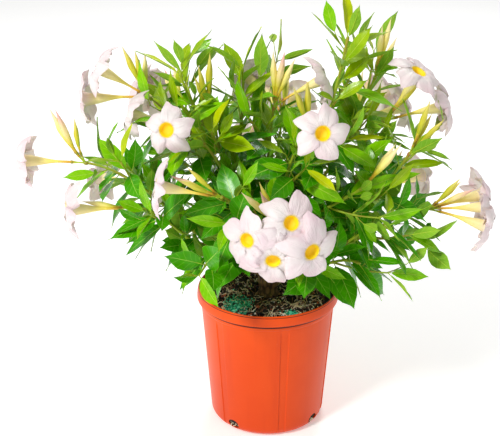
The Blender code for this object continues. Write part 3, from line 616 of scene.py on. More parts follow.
def growHeads(sprig, room, draw):  # open flowers and buds fan out from the shoot's tip
    limb = sprig.limb
    for isFlower, azimuth, elevation in headsOf(shoots[sprig.name], draw):
        base = limb.at(1) + np.array([draw.uniform(-0.8, 0.8) for _ in range(3)]) * mm
        size = draw.uniform(0.94, 1.06) if isFlower else draw.uniform(0.72, 1.08)
        roll = draw.uniform(0, 2 * math.pi)
        length = headRule["flowerLength" if isFlower else "budLength"] * size
        for _ in range(headRule["tries"]):
            way = heading(azimuth, elevation)
            leave = unit(limb.way(1) * 0.6 + way)
            mouth = base + (leave * 0.25 + way * 0.75) * length
            path = bezier(base, leave * length * 0.3, mouth, way * length * 0.4, headRule["steps"] + 1)
            if isFlower:
                shape, tested = flowerShape(path, roll, size), flowerShape(path, roll, size * 1.03)
            else:
                shape, tested = budShape(path, size), budShape(path, size * 1.2)
            if room.free(tested, exempt=sprig.name):
                (sprig.flowers if isFlower else sprig.buds).append(dict(path=path, roll=roll, size=size))
                room.take(shape, sprig.name)
                break
            azimuth += draw.uniform(-12, 12)
            elevation += draw.uniform(-9, 9)


def leafPair(sprig, room, draw, node, way, turn, age):  # age is 0 for the youngest, 1 for full grown
    side, rise = across(way)
    outer = unit(np.array([node[0], node[1], 0.0]))
    edge = leafRule["youngEdge"] if age < leafRule["youngAge"] else leafRule["grownEdge"]
    sprig.joints.append(dict(at=node, way=way, turn=turn, age=age))
    for half in (0, 1):
        spread = math.radians(between(*leafRule["spread"], age) + draw.uniform(-7, 7))
        length = leafRule["length"] * (0.55 + 0.45 * age) * draw.uniform(0.84, 1.12)
        arch = 0.02 + leafRule["arch"] * age * draw.uniform(0.3, 1.0)
        angle = turn + math.pi * half + draw.uniform(-0.25, 0.25)
        root = node + way * draw.uniform(0.3, 0.8) * mm * (1 + half)
        for _ in range(leafRule["tries"]):
            out = math.cos(angle) * side + math.sin(angle) * rise
            leafWay = unit(way * math.cos(spread) + out * math.sin(spread) - up * leafRule["sag"] * age)
            facing = way * math.sin(spread) - out * math.cos(spread) + up * (0.3 + 0.8 * age) + outer * 0.7
            facing = unit(facing - leafWay * facing.dot(leafWay))
            leaf = dict(root=root, way=leafWay, normal=facing, length=length, arch=arch, age=age)
            shape = leafShape(leaf, edge)
            if room.free(leafShape(leaf, edge, start=0.12)) and room.free(shape, exempt=sprig.name):
                sprig.leaves.append(leaf)
                room.take(shape, sprig.name)
                break
            angle += draw.uniform(0.35, 0.7)
            length *= 0.95


def growTwig(sprig, room, draw, node, way, turn):  # a side twig from a leaf's axil, with two pairs of leaves
    side, rise = across(way)
    for _ in range(twigRule["tries"]):
        out = math.cos(turn) * side + math.sin(turn) * rise
        run = unit(way * 0.8 + out + up * 0.35) * draw.uniform(*twigRule["reach"])
        shape = plainTube([node, node + run], twigRule["radii"], 3)
        tested = plainTube([node + run * 0.2, node + run], [1.5 * r for r in twigRule["radii"]], 3)
        if room.free(tested) and room.free(shape, exempt=sprig.name):
            sprig.twigs.append((node, node + run))
            room.take(shape, sprig.name)
            twist = draw.uniform(0, math.pi)
            for share, age in ((0.5, 0.62), (0.98, 0.22)):
                leafPair(sprig, room, draw, node + run * share, unit(run), twist, age)
                twist += math.pi / 2
            return
        turn += draw.uniform(0.5, 1.2)


def growLeaves(sprig, room, draw):  # pairs along the stem, each a quarter turn from the last
    limb = sprig.limb
    blooming = "blooms" in shoots[sprig.name]
    first = limb.split * limb.length + 9 * mm
    last = limb.length - (leafRule["stalkRoom"] if blooming else 4 * mm)
    count = max(3, int(round((last - first) / leafRule["internode"])) + 1)
    turn = draw.uniform(0, math.pi)
    for k in range(count):
        place = 1 - (1 - k / (count - 1)) ** leafRule["tipCrowding"]
        share = (first + (last - first) * place) / limb.length
        age = min(1.0, (0.4 if blooming else 0.0) + (count - k) / 4.5)
        node, way = limb.at(share), limb.way(share)
        if k in twigRule["nodes"] and k < count - 1:
            growTwig(sprig, room, draw, node, way, turn + math.pi / 2)
        leafPair(sprig, room, draw, node, way, turn, age)
        turn += math.pi / 2 + draw.uniform(-0.2, 0.2)


# Finer growth than the source has: short shoots in the leaves' axils, with small young leaves
fineRule = dict(
    chances=(0.35, 0.95),  # by young and by grown leaves
    reach=(10 * mm, 34 * mm), leaf=(32 * mm, 62 * mm), spread=38, proud=2 * mm, tries=5,
    fullGrown=90 * mm,  # the length that counts as age 1
    boughShares=(0.5, 0.7, 0.9),  # of the bare bough, where a few more shoots break
    bareHeight=285 * mm, bareHalf=105 * mm,  # below it and in front of the pot's middle the mix shows
)


def finePair(sprig, room, draw, tip, way, length, low, high):  # the leaves of a pair that find room
    side, rise = across(way)
    twist, grown = draw.uniform(0, math.pi), []
    for half in (0, 1):
        spread = math.radians(fineRule["spread"] + draw.uniform(-12, 12))
        turn = twist + math.pi * half
        lean = math.cos(turn) * side + math.sin(turn) * rise
        leafWay = unit(way * math.cos(spread) + lean * math.sin(spread))
        facing = way * math.sin(spread) - lean * math.cos(spread) + up * 0.4
        facing = unit(facing - leafWay * facing.dot(leafWay))
        size = length * draw.uniform(0.85, 1.1)
        age = size / fineRule["fullGrown"]
        leaf = dict(root=tip, way=leafWay, normal=facing, length=size, arch=0.08, age=age)
        shape = leafShape(leaf, leafRule["youngEdge"], start=0.12)
        inside = (shape[0] > low).all() and (shape[0] < high).all()
        x, y, z = shape[0].T
        hides = ((z < fineRule["bareHeight"]) & (y < 0) & (np.abs(x) < fineRule["bareHalf"])).any()
        if inside and not hides and room.free(shape):
            grown.append(leaf)
            room.take(shape, sprig.name)
    return grown


def growFine(sprig, room, draw):
    limb = sprig.limb
    for share in fineRule["boughShares"]:
        at, way = limb.at(share * limb.split), limb.way(share * limb.split)
        sprig.joints.append(dict(at=at, way=way, turn=draw.uniform(0, math.pi), age=1))
    boxes = [np.array(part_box(kind + sprig.name)) for kind in ("foliage_", "bough_")]
    low = np.min([box[0] for box in boxes], 0) - fineRule["proud"]
    high = np.max([box[1] for box in boxes], 0) + fineRule["proud"]
    for joint in sprig.joints:
        side, rise = across(joint["way"])
        for half in (0, 1):
            angle = joint["turn"] + math.pi * half + draw.uniform(-0.5, 0.5)
            if draw.random() > fineRule["chances"][joint["age"] > 0.45]:
                continue
            for _ in range(fineRule["tries"]):
                out = math.cos(angle) * side + math.sin(angle) * rise
                way = unit(joint["way"] * draw.uniform(0.5, 1.2) + out * 0.9 + up * 0.35)
                tip = joint["at"] + way * draw.uniform(*fineRule["reach"])
                grown = finePair(sprig, room, draw, tip, way, draw.uniform(*fineRule["leaf"]), low, high)
                if grown:
                    sprig.leaves += grown
                    sprig.twigs.append((joint["at"], tip))
                    break
                angle += draw.uniform(0.5, 1.2)


def nodeShape(name):
    mesh = cadNodes[name].data
    points = np.empty(len(mesh.vertices) * 3)
    mesh.vertices.foreach_get("co", points)
    return points.reshape(-1, 3), [list(face.vertices) for face in mesh.polygons]


def tell(stage, sprigs, kinds):
    print(stage, *(f"{sum(len(getattr(sprig, kind)) for sprig in sprigs)} {kind}" for kind in kinds))


def growPlant():
    room = Room()
    for name in ("pot", "potting_mix", "woody_foot"):
        room.take(nodeShape(name), "fixed")
    sprigs = [Sprig(limb) for limb in growLimbs(room).values()]
    for k, sprig in enumerate(sprigs):
        growHeads(sprig, room, random.Random(100 + k))
    for k, sprig in enumerate(sprigs):
        growLeaves(sprig, room, random.Random(500 + k))
    tell("as in the source:", sprigs, ("leaves", "flowers", "buds", "twigs"))
    for k, sprig in enumerate(sprigs):
        growFine(sprig, room, random.Random(900 + k))
    tell("with finer growth:", sprigs, ("leaves", "twigs"))
    return sprigs


sprigs = growPlant()
allLeaves = [leaf for sprig in sprigs for leaf in sprig.leaves]
allFlowers = [flower for sprig in sprigs for flower in sprig.flowers]
allBuds = [bud for sprig in sprigs for bud in sprig.buds]
foliageNodes = [name for name in cadNodes if name.startswith("foliage_")]


# Leaf paints: the blade's own colour with a pale midrib, side veins that curve forward, a pale rim

def leafPaint(name, colour, veinColour, gloss, veinShare):
    paint = Paint(name, gloss, Specular_IOR_Level=0.10, Coat_Weight=0.22, Coat_Roughness=0.16)
    x, y = paint.plan()
    edge = abs(x * 2 - 1)
    midrib = 1 - paint.ramp(edge, 0.012, 0.06)
    phase = (y * 9 - edge * 1.7 + edge * edge * 0.5).fraction()
    vein = paint.ramp(abs(phase - 0.5) * 2, 0.84, 1.0) * (1 - paint.ramp(edge, 0.75, 1.0))
    rim = paint.ramp(edge, 0.94, 1.0)
    cloud = paint.noise(38, 2.0)
    dark = (colour[0] * 0.58, colour[1] * 0.72, colour[2] * 0.8, 1.0)
    shade = paint.blend(dark, colour, paint.ramp(cloud, 0.22, 0.68))
    shade = paint.blend(shade, veinColour, vein * veinShare)
    shade = paint.blend(shade, veinColour, rim * 0.5)
    shade = paint.blend(shade, veinColour, midrib * 0.8)
    swell = abs(phase - 0.5) * -0.6 - midrib * 0.8
    return paint.finish(shade, swell, 0.4 * mm, roughness=cloud * 0.16 + (gloss - 0.08))


leafPaints = [
    leafPaint("leafLime", tone(196, 210, 0), tone(228, 240, 84), 0.36, 0.12),
    leafPaint("leafFresh", tone(158, 192, 0), tone(214, 234, 84), 0.32, 0.16),
    leafPaint("leafMid", tone(134, 202, 0), tone(198, 232, 84), 0.28, 0.28),
    leafPaint("leafDeep", tone(75, 167, 0), tone(168, 222, 90), 0.25, 0.30),
    leafPaint("leafUnder", tone(146, 194, 50), tone(200, 224, 112), 0.55, 0.3),
]
bladeLook = dict(
    rows=10, columns=5, petiole=0.10, thickness=0.32 * mm, youngWidth=0.30, grownWidth=0.46,
    youngFold=27, grownFold=10, cup=0.5, wave=0.012, bend=0.10, twist=0.30,
    youngMore=1.22, highMore=1.10, highWidth=0.78,  # times longer when young, longer and slimmer when high up
    crown=(0.30, 0.50),  # between these heights, in metres, leaves turn fresher, slimmer and longer
    tint=(0.64, 0.75, 0.54, 0.18),  # a start, more with age, less with height, and chance either way
    shades=(0.30, 0.56, 0.82),  # the tints at which the next deeper paint starts
    ribRows=9, ribSides=4, ribReach=(-0.015, 0.94), ribRadius=0.85 * mm, ribDrop=0.35 * mm,
    bareWindow=[(-0.032, -0.20, 0.20), (0.012, -0.10, 0.288)],  # leaves that end here hide the mix: left out
)


def bladeOutline(v):  # a skewed sine, drawn in towards the apex and ended by a short drip tip
    t = np.clip(v / 0.95, 0, 1)
    body = np.sin(np.pi * t**0.94) ** 0.74 * (1 - 0.46 * ease(0.68, 1, t))
    return np.maximum(body, 0.045 * np.clip((1 - v) / 0.08, 0.15, 1))


def makeLeaves():
    # root + way s L + side (u half cos f + bend s^2 L)
    # + normal ((|u| - cup u^2 / 2) half sin f + wave u^2 L sin(..) + u half sin(twist v) - arch s^2 L),
    # with f the fold, L the length and s the share of it. Blades are drawn a little longer than the
    # source's plain leaves, the young ones most, and those high in the crown slimmer too.
    look, draw = bladeLook, np.random.default_rng(11)
    root, way, normal, length, arch, age = (
        gathered(allLeaves, key)[:, None, None] for key in ("root", "way", "normal", "length", "arch", "age")
    )
    each = (len(allLeaves), 1, 1)
    high = ease(*look["crown"], root[..., 2])
    length = length * between(look["youngMore"], 1, age.clip(0, 1))
    length = length * between(1, look["highMore"], high)
    side = np.cross(normal, way)
    grown = ease(0.1, 0.75, age)
    fold = np.radians(between(look["youngFold"], look["grownFold"], grown))
    fold = fold * draw.uniform(0.6, 1.35, each)
    width = between(look["youngWidth"], look["grownWidth"], grown) * draw.uniform(0.9, 1.12, each)
    width = width * between(1, look["highWidth"], high)
    bend = look["bend"] * draw.uniform(-1, 1, each)
    phase = draw.uniform(0, 1, each)
    twist = draw.uniform(-look["twist"], look["twist"], each)
    v = (0.5 - 0.5 * np.cos(np.pi * np.arange(look["rows"]) / (look["rows"] - 1)))[None, :, None]
    u = np.linspace(-1, 1, look["columns"])[None, None]
    share = look["petiole"] + (1 - look["petiole"]) * v
    half = length * width / 2 * bladeOutline(v)
    lift = np.abs(u) * half * np.sin(fold) - look["cup"] * 0.5 * u**2 * half * np.sin(fold)
    lift = lift + look["wave"] * length * u**2 * np.sin(2 * np.pi * (1.7 * v + phase + 0.25 * np.sign(u)))
    lift = lift + u * half * np.sin(twist * v) - arch * length * share**2
    sideways = u * half * np.cos(fold) + bend * length * share**2
    top = root + way * (share * length)[..., None] + side * sideways[..., None] + normal * lift[..., None]
    start, byAge, byHeight, chance = look["tint"]
    tint = start + byAge * age[:, 0, 0] - byHeight * high[:, 0, 0]
    slots = np.digitize(tint + draw.uniform(-chance, chance, len(tint)), look["shades"])
    tip = root[:, 0, 0] + way[:, 0, 0] * length[:, 0]
    shown = ~((tip > look["bareWindow"][0]) & (tip < look["bareWindow"][1])).all(-1)
    leaves = Sheaf("leafBlades", leafPaints)
    leaves.blades(top[shown], look["thickness"], slots[shown], np.full(shown.sum(), 4))
    leaves.join(sharp=70, replaced=foliageNodes)

    # petiole and midrib, one tapering stalk under each blade
    s = np.linspace(*look["ribReach"], look["ribRows"])[None, :, None]
    drop = arch * length * s**2 + look["ribDrop"] * ease(look["petiole"], 0.3, s)
    path = root[:, 0] + way[:, 0] * (s * length) + side[:, 0] * (bend * length * s**2) - normal[:, 0] * drop
    taper = 1.15 - 0.85 * np.clip(s[..., 0], 0, 1) ** 0.6
    radius = look["ribRadius"] * np.sqrt(length[:, 0] / leafRule["length"]) * taper
    ribs = Sheaf("leafStalks", [ribPaint])
    ribs.tubes(rings(path[shown], np.linspace(0, 1, look["ribRows"]), radius[shown], look["ribSides"]))
    ribs.join(replaced=foliageNodes)


def stemPaint(name, colour, otherColour, gloss, patch=0.5):
    paint = Paint(name, gloss)
    blotch = paint.noise(60, 3.0, where=paint.stretched((1, 1, 0.4)))
    grain = paint.noise(420, 3.0)
    shade = paint.blend(colour, otherColour, paint.ramp(blotch, 0.72 - patch * 0.5, 0.80 - patch * 0.3))
    relief = blotch * 0.6 + grain * 0.4
    return paint.finish(shade, relief, 0.25 * mm, roughness=blotch * 0.2 + (gloss - 0.1))


ribPaint = stemPaint("leafRib", tone(190, 214, 60), tone(164, 200, 44), 0.45)
stalkPaint = stemPaint("stalkGreen", tone(184, 204, 44), tone(156, 176, 36), 0.45)
stemGreenPaint = stemPaint("stemGreen", tone(158, 182, 30), tone(168, 158, 44), 0.50)
sideBarkPaint = stemPaint("barkGreen", tone(146, 152, 40), tone(144, 110, 50), 0.6, 0.6)
makeLeaves()


# Boughs, stems and twigs

def barkPaint(name, colour, crackColour, lichen):
    paint = Paint(name, 0.82)
    cracks = paint.grains(150, paint.stretched((1, 1, 0.28)))
    fine = paint.noise(520, 4.0, 0.65)
    patch = paint.noise(45, 3.0)
    shade = paint.blend(colour, crackColour, paint.ramp(cracks, 0.28, 0.62))
    shade = paint.blend(shade, lichen, paint.ramp(patch, 0.52, 0.70) * 0.55)
    return paint.finish(shade, fine * 0.35 - cracks, 0.6 * mm, roughness=0.72 + fine * 0.2)


mainBarkPaint = barkPaint("barkBrown", tone(128, 96, 58), tone(70, 48, 28), tone(136, 132, 74))
limbLook = dict(
    sides=12, rows=109, collar=4 * mm, swell=0.55, swellReach=7 * mm, scar=0.75 * mm, scarReach=3.2 * mm,
    relief=0.22 * mm, reliefRadius=4 * mm,  # a limb of this radius has the relief in full
)
twigLook = dict(rows=9, sides=7, sag=0.04, foot=1.7, taper=0.5, knot=0.5, fullLength=60 * mm)  # radii in mm


def limbRings(limbs):
    # the limb's radius, swollen at its foot and at each leaf scar, with low ridges that wind along it
    look = limbLook
    shares = np.linspace(0, 1, look["rows"])[None]
    length = np.array([limb.length for limb in limbs])[:, None]
    paths = np.array([limb.path for limb in limbs])
    foot = paths[:, :1] - unit(paths[:, 1:2] - paths[:, :1]) * look["collar"]
    paths = np.concatenate([foot, paths], 1)
    base = np.array([limb.baseRadius for limb in limbs])[:, None]
    radius = between(base, limbRule["tipRadius"], shares**0.7)
    radius = radius * (1 + look["swell"] * np.exp(-shares * length / look["swellReach"]))
    for k, limb in enumerate(limbs):
        joints = [j["at"] for sprig in sprigs if sprig.limb is limb for j in sprig.joints]
        centres = along(paths[k : k + 1], shares[0])[0]
        away = np.array([np.linalg.norm(centres - joint, axis=1) for joint in joints])
        radius[k] += (look["scar"] * np.exp(-((away / look["scarReach"]) ** 2))).max(0)
    a, s = circle(look["sides"]), shares[..., None]
    phase = np.arange(len(limbs))[:, None, None]
    ridges = np.sin(3 * a + 9 * s + phase) + np.sin(2 * a - 31 * s + 2 * phase)
    bark = look["relief"] * ridges * base[..., None] / look["reliefRadius"]
    return rings(paths, shares[0], radius[..., None] + bark, look["sides"])


def makeLimbs():
    stems = Sheaf("greenStems", [stemGreenPaint])
    for isSide, name, paint, slot in (
        (False, "mainBoughs", mainBarkPaint, "bark"), (True, "sideBoughs", sideBarkPaint, "green_bark")
    ):
        limbs = [sprig.limb for sprig in sprigs if sprig.limb.isSide == isSide]
        full = limbRings(limbs)
        cut = round(limbs[0].split * (limbLook["rows"] - 1))
        boughs = Sheaf(name, [paint])
        boughs.tubes(full[:, : cut + 1])
        boughs.join(replaced=["bough_" + limb.name for limb in limbs])
        stems.tubes(full[:, cut:])
    stems.join(replaced=foliageNodes)


def makeTwigs():  # from a leaf's axil to the twig's tip, sagging between by sin(pi t), with a knot halfway
    look = twigLook
    ends = np.array([twig for sprig in sprigs for twig in sprig.twigs])
    run = ends[:, 1] - ends[:, 0]
    reach = np.linalg.norm(run, axis=1)[:, None]
    t = np.linspace(0, 1, look["rows"])[None, :, None]
    bow = np.sin(np.pi * t) * reach[..., None] * look["sag"]
    paths = ends[:, :1] + run[:, None] * t - up * bow
    size = np.clip(reach / look["fullLength"], 0.45, 1)
    knot = look["knot"] * np.exp(-((t[..., 0] - 0.5) / 0.05) ** 2)
    radius = (look["foot"] - look["taper"] * t[..., 0] + knot) * mm * size
    twigs = Sheaf("greenTwigs", [stemGreenPaint])
    twigs.tubes(rings(paths, np.linspace(0, 1, look["rows"]), radius, look["sides"]))
    twigs.join(replaced=foliageNodes)


makeLimbs()
makeTwigs()


# Flowers

def petalPaint():
    through = dict(Subsurface_Weight=0.22, Subsurface_Scale=0.006, Subsurface_Radius=(1.0, 0.84, 0.8))
    paint = Paint("petalBlush", 0.5, Specular_IOR_Level=0.3, **through)
    x, y = paint.plan()
    crease = paint.noise(9, 2.0, where=paint.strips((2.4, 0.28, 1.0)))
    cloud = paint.noise(30, 2.0)
    blush = paint.ramp(cloud, 0.34, 0.70) * 0.55 + paint.ramp(y, 0.35, 1.0) * 0.30
    shade = paint.blend(tone(250, 240, 239), tone(238, 206, 216), blush)
    shade = paint.blend(shade, tone(252, 226, 120), (1 - paint.ramp(y, 0.0, 0.10)) * 0.9)
    keel = paint.ramp(abs(x - 0.5), 0.0, 0.05) * 0.12
    return paint.finish(shade, crease + keel, 1.6 * mm, roughness=cloud * 0.12 + 0.44)


def gradePaint(name, stops, gloss, streak, streakColour):
    # colours by the place along the map, as (place, colour) stops, with soft streaks down the length
    paint = Paint(name, gloss)
    y = paint.plan()[1]
    shade = stops[0][1]
    for (low, _), (high, colour) in zip(stops, stops[1:]):
        shade = paint.blend(shade, colour, paint.ramp(y, low, high))
    lines = paint.noise(14, 2.0, where=paint.strips((3.0, 0.35, 1.0)))
    shade = paint.blend(shade, streakColour, paint.ramp(lines, 0.52, 0.72) * streak)
    return paint.finish(shade, lines, 0.3 * mm)


flowerPaints = [
    stalkPaint,
    gradePaint(
        "trumpetFoot", [(0.2, tone(224, 170, 40)), (0.5, tone(248, 226, 92))], 0.48, 0.45, tone(212, 112, 30)
    ),
    gradePaint(
        "trumpetCream", [(0.44, tone(250, 230, 104)), (0.8, tone(255, 240, 172)), (1.0, tone(250, 232, 222))],
        0.5, 0.35, tone(226, 206, 84),
    ),
    gradePaint(
        "throatGold", [(0.90, tone(255, 208, 0)), (1.0, tone(255, 232, 20))], 0.6, 0.15, tone(255, 190, 0)
    ),
]
lobePaint = petalPaint()
flowerLook = dict(
    tubeSides=20, foot=0.18, slim=1.8 * mm, wide=8.4 * mm, mouth=10.9 * mm, wall=0.5 * mm, throatFoot=0.91,
    lobeRows=10, lobeColumns=17, lobeStart=10.2 * mm, overlap=12, swirl=8, rise=3.0 * mm, point=0.45,
    notch=0.64, tip=1.08, cusp=0.20, cuspWidth=0.2, reflex=(7 * mm, 17 * mm), tilt=2.2 * mm, curl=7 * mm,
    ruffle=1.2 * mm, thickness=0.3 * mm,
    sizes={"front_low": (1.13, 1.13, 1.13, 1.34), "left_face": (0.94, 0.94)},
    throatRoom=(12 * mm, 21 * mm), throatDrop=11 * mm, throatReach=25 * mm,
)


def trumpetRadius(s):  # a slim tube that swells into a bell, then flares at its mouth
    look = flowerLook
    stalk = 1.15 * mm + 0.9 * mm * np.exp(-(((s - look["foot"]) / 0.02) ** 2))
    bell = between(look["slim"], look["wide"], ease(0.38, 0.94, s))
    bell = bell + (look["mouth"] - look["wide"]) * ease(0.90, 1.0, s) ** 1.5
    return np.where(s < look["foot"], stalk, bell)


def clearThroats(lobes, mouths, ways):
    # near a neighbour's axis each lobe is pressed back along it, so that it passes behind the golden throat
    near, far = flowerLook["throatRoom"]
    for j in range(len(mouths)):
        away = lobes - mouths[j]
        height = away @ ways[j]
        off = np.linalg.norm(away - height[..., None] * ways[j], axis=-1)
        inReach = np.abs(height) < flowerLook["throatReach"]
        drop = np.clip(height + flowerLook["throatDrop"], 0, None) * (1 - ease(near, far, off)) * inReach
        drop[j] = 0
        lobes = lobes - drop[..., None] * ways[j]
    return lobes


def makeTrumpets(paths, size, roll):
    # radius(s) (1 + 0.035 cos 5a): the outside up to the mouth, then the inside, a wall's thickness in,
    # back down to the throat's foot
    look = flowerLook
    outside = np.concatenate([np.linspace(0, look["foot"], 5), np.linspace(look["foot"] + 0.015, 1, 19)])
    inside = np.linspace(1, look["throatFoot"], 7)
    stations = np.concatenate([outside, inside])
    radius = trumpetRadius(stations)
    radius[len(outside):] -= look["wall"]
    radius[-1] *= 0.3
    radii = radius[None] * np.where(stations < look["foot"], 1, size[:, None])
    slots = np.digitize(outside[1:], (look["foot"] + 0.01, 0.46))
    slots = np.concatenate([slots, np.full(len(inside), 3)])
    bells = Sheaf("flowerTrumpets", flowerPaints)
    a = circle(look["tubeSides"])
    pleat = 1 + 0.035 * np.cos(5 * a)[None, None] * ease(0.5, 0.9, stations)[None, :, None]
    bell = rings(paths, stations, radii[..., None] * pleat, look["tubeSides"], roll)
    bells.tubes(bell, slots[None], stations)
    bells.join(sharp=80, replaced=foliageNodes)


def makeLobes(paths, size, roll):
    # angle = centre + p (36 + overlap sin) + swirl q, radius from the throat to edge(p), which is round on
    # one side of the lobe's point and straight on the other; height rises, then falls back with q
    look, draw = flowerLook, np.random.default_rng(23)
    mouth, way = paths[:, -1], unit(paths[:, -1] - paths[:, -3])
    side = unit(np.cross(way, up))
    other = np.cross(way, side)
    p = -np.cos(np.pi * np.arange(look["lobeColumns"]) / (look["lobeColumns"] - 1))[None, None, None]
    q = np.linspace(0, 1, look["lobeRows"])[None, None, :, None]
    k = np.arange(5)[None, :, None, None]
    each = (len(paths), 5, 1, 1)
    size = size[:, None, None, None]
    more = np.concatenate([look["sizes"].get(sprig.name, np.ones(len(sprig.flowers))) for sprig in sprigs])
    more = more[:, None, None, None]
    reflex = draw.uniform(*look["reflex"], (len(paths), 1, 1, 1)) * draw.uniform(0.6, 1.4, each)
    point = look["point"] + draw.uniform(-0.08, 0.08, each)
    t = np.where(p < point, (point - p) / (1 + point), (p - point) / (1 - point)).clip(0, 1)
    peak = look["tip"] - look["notch"]
    roundSide = (peak - look["cusp"]) * np.sqrt(1 - t**3.6) + look["cusp"] * np.exp(-t / look["cuspWidth"])
    edge = look["notch"] + np.where(p < point, roundSide, peak * (1 - t**1.35))
    edge = edge + 0.018 * np.sin(8 * p + draw.uniform(0, 6.3, each)) * (1 - p**2)
    edge = edge * headRule["flowerRadius"] * size * more * draw.uniform(0.94, 1.05, each)
    spread = p * (36 + look["overlap"] * np.sin(np.pi * q**0.8) - 2 * q)
    turn = 72 * k + 36 + draw.uniform(-3, 3, each) + spread + look["swirl"] * (q - 0.3)
    angle = roll[:, None, None, None] + np.radians(turn)
    radius = look["lobeStart"] * size * (1 - q) + edge * q
    height = look["rise"] * np.sin(np.pi * 0.5 * np.minimum(1, q * 2)) - reflex * q**1.9
    height = height + look["tilt"] * p * ease(0, 0.4, q) * (1 - 0.5 * q)
    height = height - look["curl"] * q**4 * np.exp(-(((p - point) / 0.3) ** 2))
    height = height - 1.5 * mm * p**2 * q**2 - 0.9 * mm * np.exp(-((p / 0.22) ** 2)) * np.sin(np.pi * q)
    height = height + look["ruffle"] * q**2 * np.sin(6.5 * p + draw.uniform(0, 6.3, each))
    mouth, side, other, way = (v[:, None, None, None] for v in (mouth, side, other, way))
    lobes = mouth + way * height[..., None]
    lobes = lobes + radius[..., None] * (np.cos(angle)[..., None] * side + np.sin(angle)[..., None] * other)
    lobes = clearThroats(lobes, paths[:, -1], way.reshape(-1, 3))
    petals = Sheaf("flowerLobes", [lobePaint])
    petals.blades(lobes.reshape(-1, look["lobeRows"], look["lobeColumns"], 3), look["thickness"])
    petals.join(sharp=75, replaced=foliageNodes)


flowers = [gathered(allFlowers, key) for key in ("path", "size", "roll")]
makeTrumpets(*flowers)
makeLobes(*flowers)


# Buds

budPaints = [
    stalkPaint,
    gradePaint(
        "budFoot", [(0.18, tone(196, 160, 30)), (0.42, tone(222, 208, 50))], 0.5, 0.7, tone(212, 88, 26)
    ),
    gradePaint(
        "budOlive", [(0.40, tone(190, 196, 26)), (0.62, tone(212, 208, 52)), (0.95, tone(232, 218, 112))],
        0.45, 0.45, tone(206, 140, 40),
    ),
    gradePaint(
        "budCream", [(0.40, tone(226, 216, 70)), (0.60, tone(250, 236, 136)), (0.9, tone(252, 234, 180))],
        0.45, 0.3, tone(222, 200, 70),
    ),
    gradePaint(
        "budBlush", [(0.40, tone(230, 214, 80)), (0.62, tone(250, 228, 160)), (0.9, tone(244, 190, 176))],
        0.45, 0.3, tone(236, 160, 120),
    ),
]
budLook = dict(
    sides=15, rows=26, foot=0.15, slim=1.7 * mm, fat=3.7 * mm, twist=1.15, pleat=0.13,
    kinds=(0.56, 0.26, 0.18),  # shares of olive, cream and blush buds
)


def makeBuds():
    # a slim tube, then a spindle with five pleats that wind round it and run together at its tip
    look, draw = budLook, np.random.default_rng(31)
    paths, size = gathered(allBuds, "path"), gathered(allBuds, "size")[:, None, None]
    spindle = np.linspace(look["foot"] + 0.012, 0.995, look["rows"])
    s = np.concatenate([np.linspace(0, look["foot"], 4), spindle])
    stalk = 1.1 * mm + 1.0 * mm * np.exp(-(((s - look["foot"]) / 0.018) ** 2))
    swell = np.sin(np.pi * np.clip((s - 0.32) / 0.68, 0, 1) ** 0.85) ** 1.25
    body = look["slim"] * (1 - ease(0.62, 1.0, s)) + (look["fat"] - look["slim"] * 0.6) * swell + 0.12 * mm
    radius = np.where(s < look["foot"], stalk, body)[None, :, None]
    a = circle(look["sides"])
    wind = 2 * np.pi * look["twist"] * s[None, :, None]
    pleat = 1 + look["pleat"] * ease(0.45, 0.7, s)[None, :, None] * np.cos(5 * (a[None, None] - wind / 2.2))
    kind = draw.choice((2, 3, 4), len(paths), p=look["kinds"])[:, None]
    slots = np.where(s[1:] < look["foot"] + 0.01, 0, np.where(s[1:] < 0.42, 1, kind))
    buds = Sheaf("budSpindles", budPaints)
    girth = radius * pleat * np.where(s[None, :, None] < look["foot"], 1, size)
    buds.tubes(rings(paths, s, girth, look["sides"]), slots, s)
    buds.join(replaced=foliageNodes)


makeBuds()


# Sepals at the foot of each flower and bud, and the knuckle that their stalks leave from

sepalLook = dict(
    length=7 * mm, width=0.34, foot=0.165, rows=5, columns=3, collar=1.5 * mm, thickness=0.4 * mm,
    knuckleRows=7, knuckleSides=9, knuckleReach=4.2,  # reach in mm
)


def makeSepals():
    # root + way v L + out (flare - 0.18 u^2 half) - sideways u half, five round each collar
    look = sepalLook
    paths = gathered(allFlowers + allBuds, "path")
    stations = np.array([look["foot"], look["foot"] + 0.05])
    collar = rings(paths, stations, np.full((len(paths), 2), look["collar"]), 5)
    axis = along(paths, stations)[:, :, None]
    root, way = collar[:, 0], unit(axis[:, 1] - axis[:, 0])
    out = unit(collar[:, 0] - axis[:, 0])
    v = np.linspace(0, 1, look["rows"])[None, None, :, None]
    u = np.linspace(-1, 1, look["columns"])[None, None, None]
    half = look["length"] * look["width"] / 2 * np.maximum((1 - v) ** 0.7 * (0.5 + 1.6 * v), 0.05)
    root, way, out, sideways = (
        x[:, :, None, None] for x in (root, np.broadcast_to(way, root.shape), out, np.cross(way, out))
    )
    flare = look["length"] * (0.10 * v + 0.16 * v**2)
    top = root + way * (v * look["length"] + 0 * u)[..., None]
    top = top + out * (flare - 0.18 * u**2 * half)[..., None] - sideways * (u * half)[..., None]
    sepals = Sheaf("sepals", [stemPaint("sepalGreen", tone(150, 164, 40), tone(176, 112, 50), 0.5)])
    sepals.blades(top.reshape(-1, look["rows"], look["columns"], 3), look["thickness"])

    tips = [sprig.limb for sprig in sprigs if sprig.flowers or sprig.buds]
    reach = np.linspace(-1, 1, look["knuckleRows"])
    paths = np.array([
        [limb.at(1) + limb.way(1) * r * look["knuckleReach"] * mm for r in reach] for limb in tips
    ])
    ball = np.sqrt(np.clip(1 - reach**2, 0.02, 1))[None]
    radius = ball * headRule["knuckle"] * 0.85 * np.ones((len(tips), 1))
    sepals.tubes(rings(paths, np.linspace(0, 1, look["knuckleRows"]), radius, look["knuckleSides"]))
    sepals.join(sharp=70, replaced=foliageNodes)


makeSepals()


# The woody foot

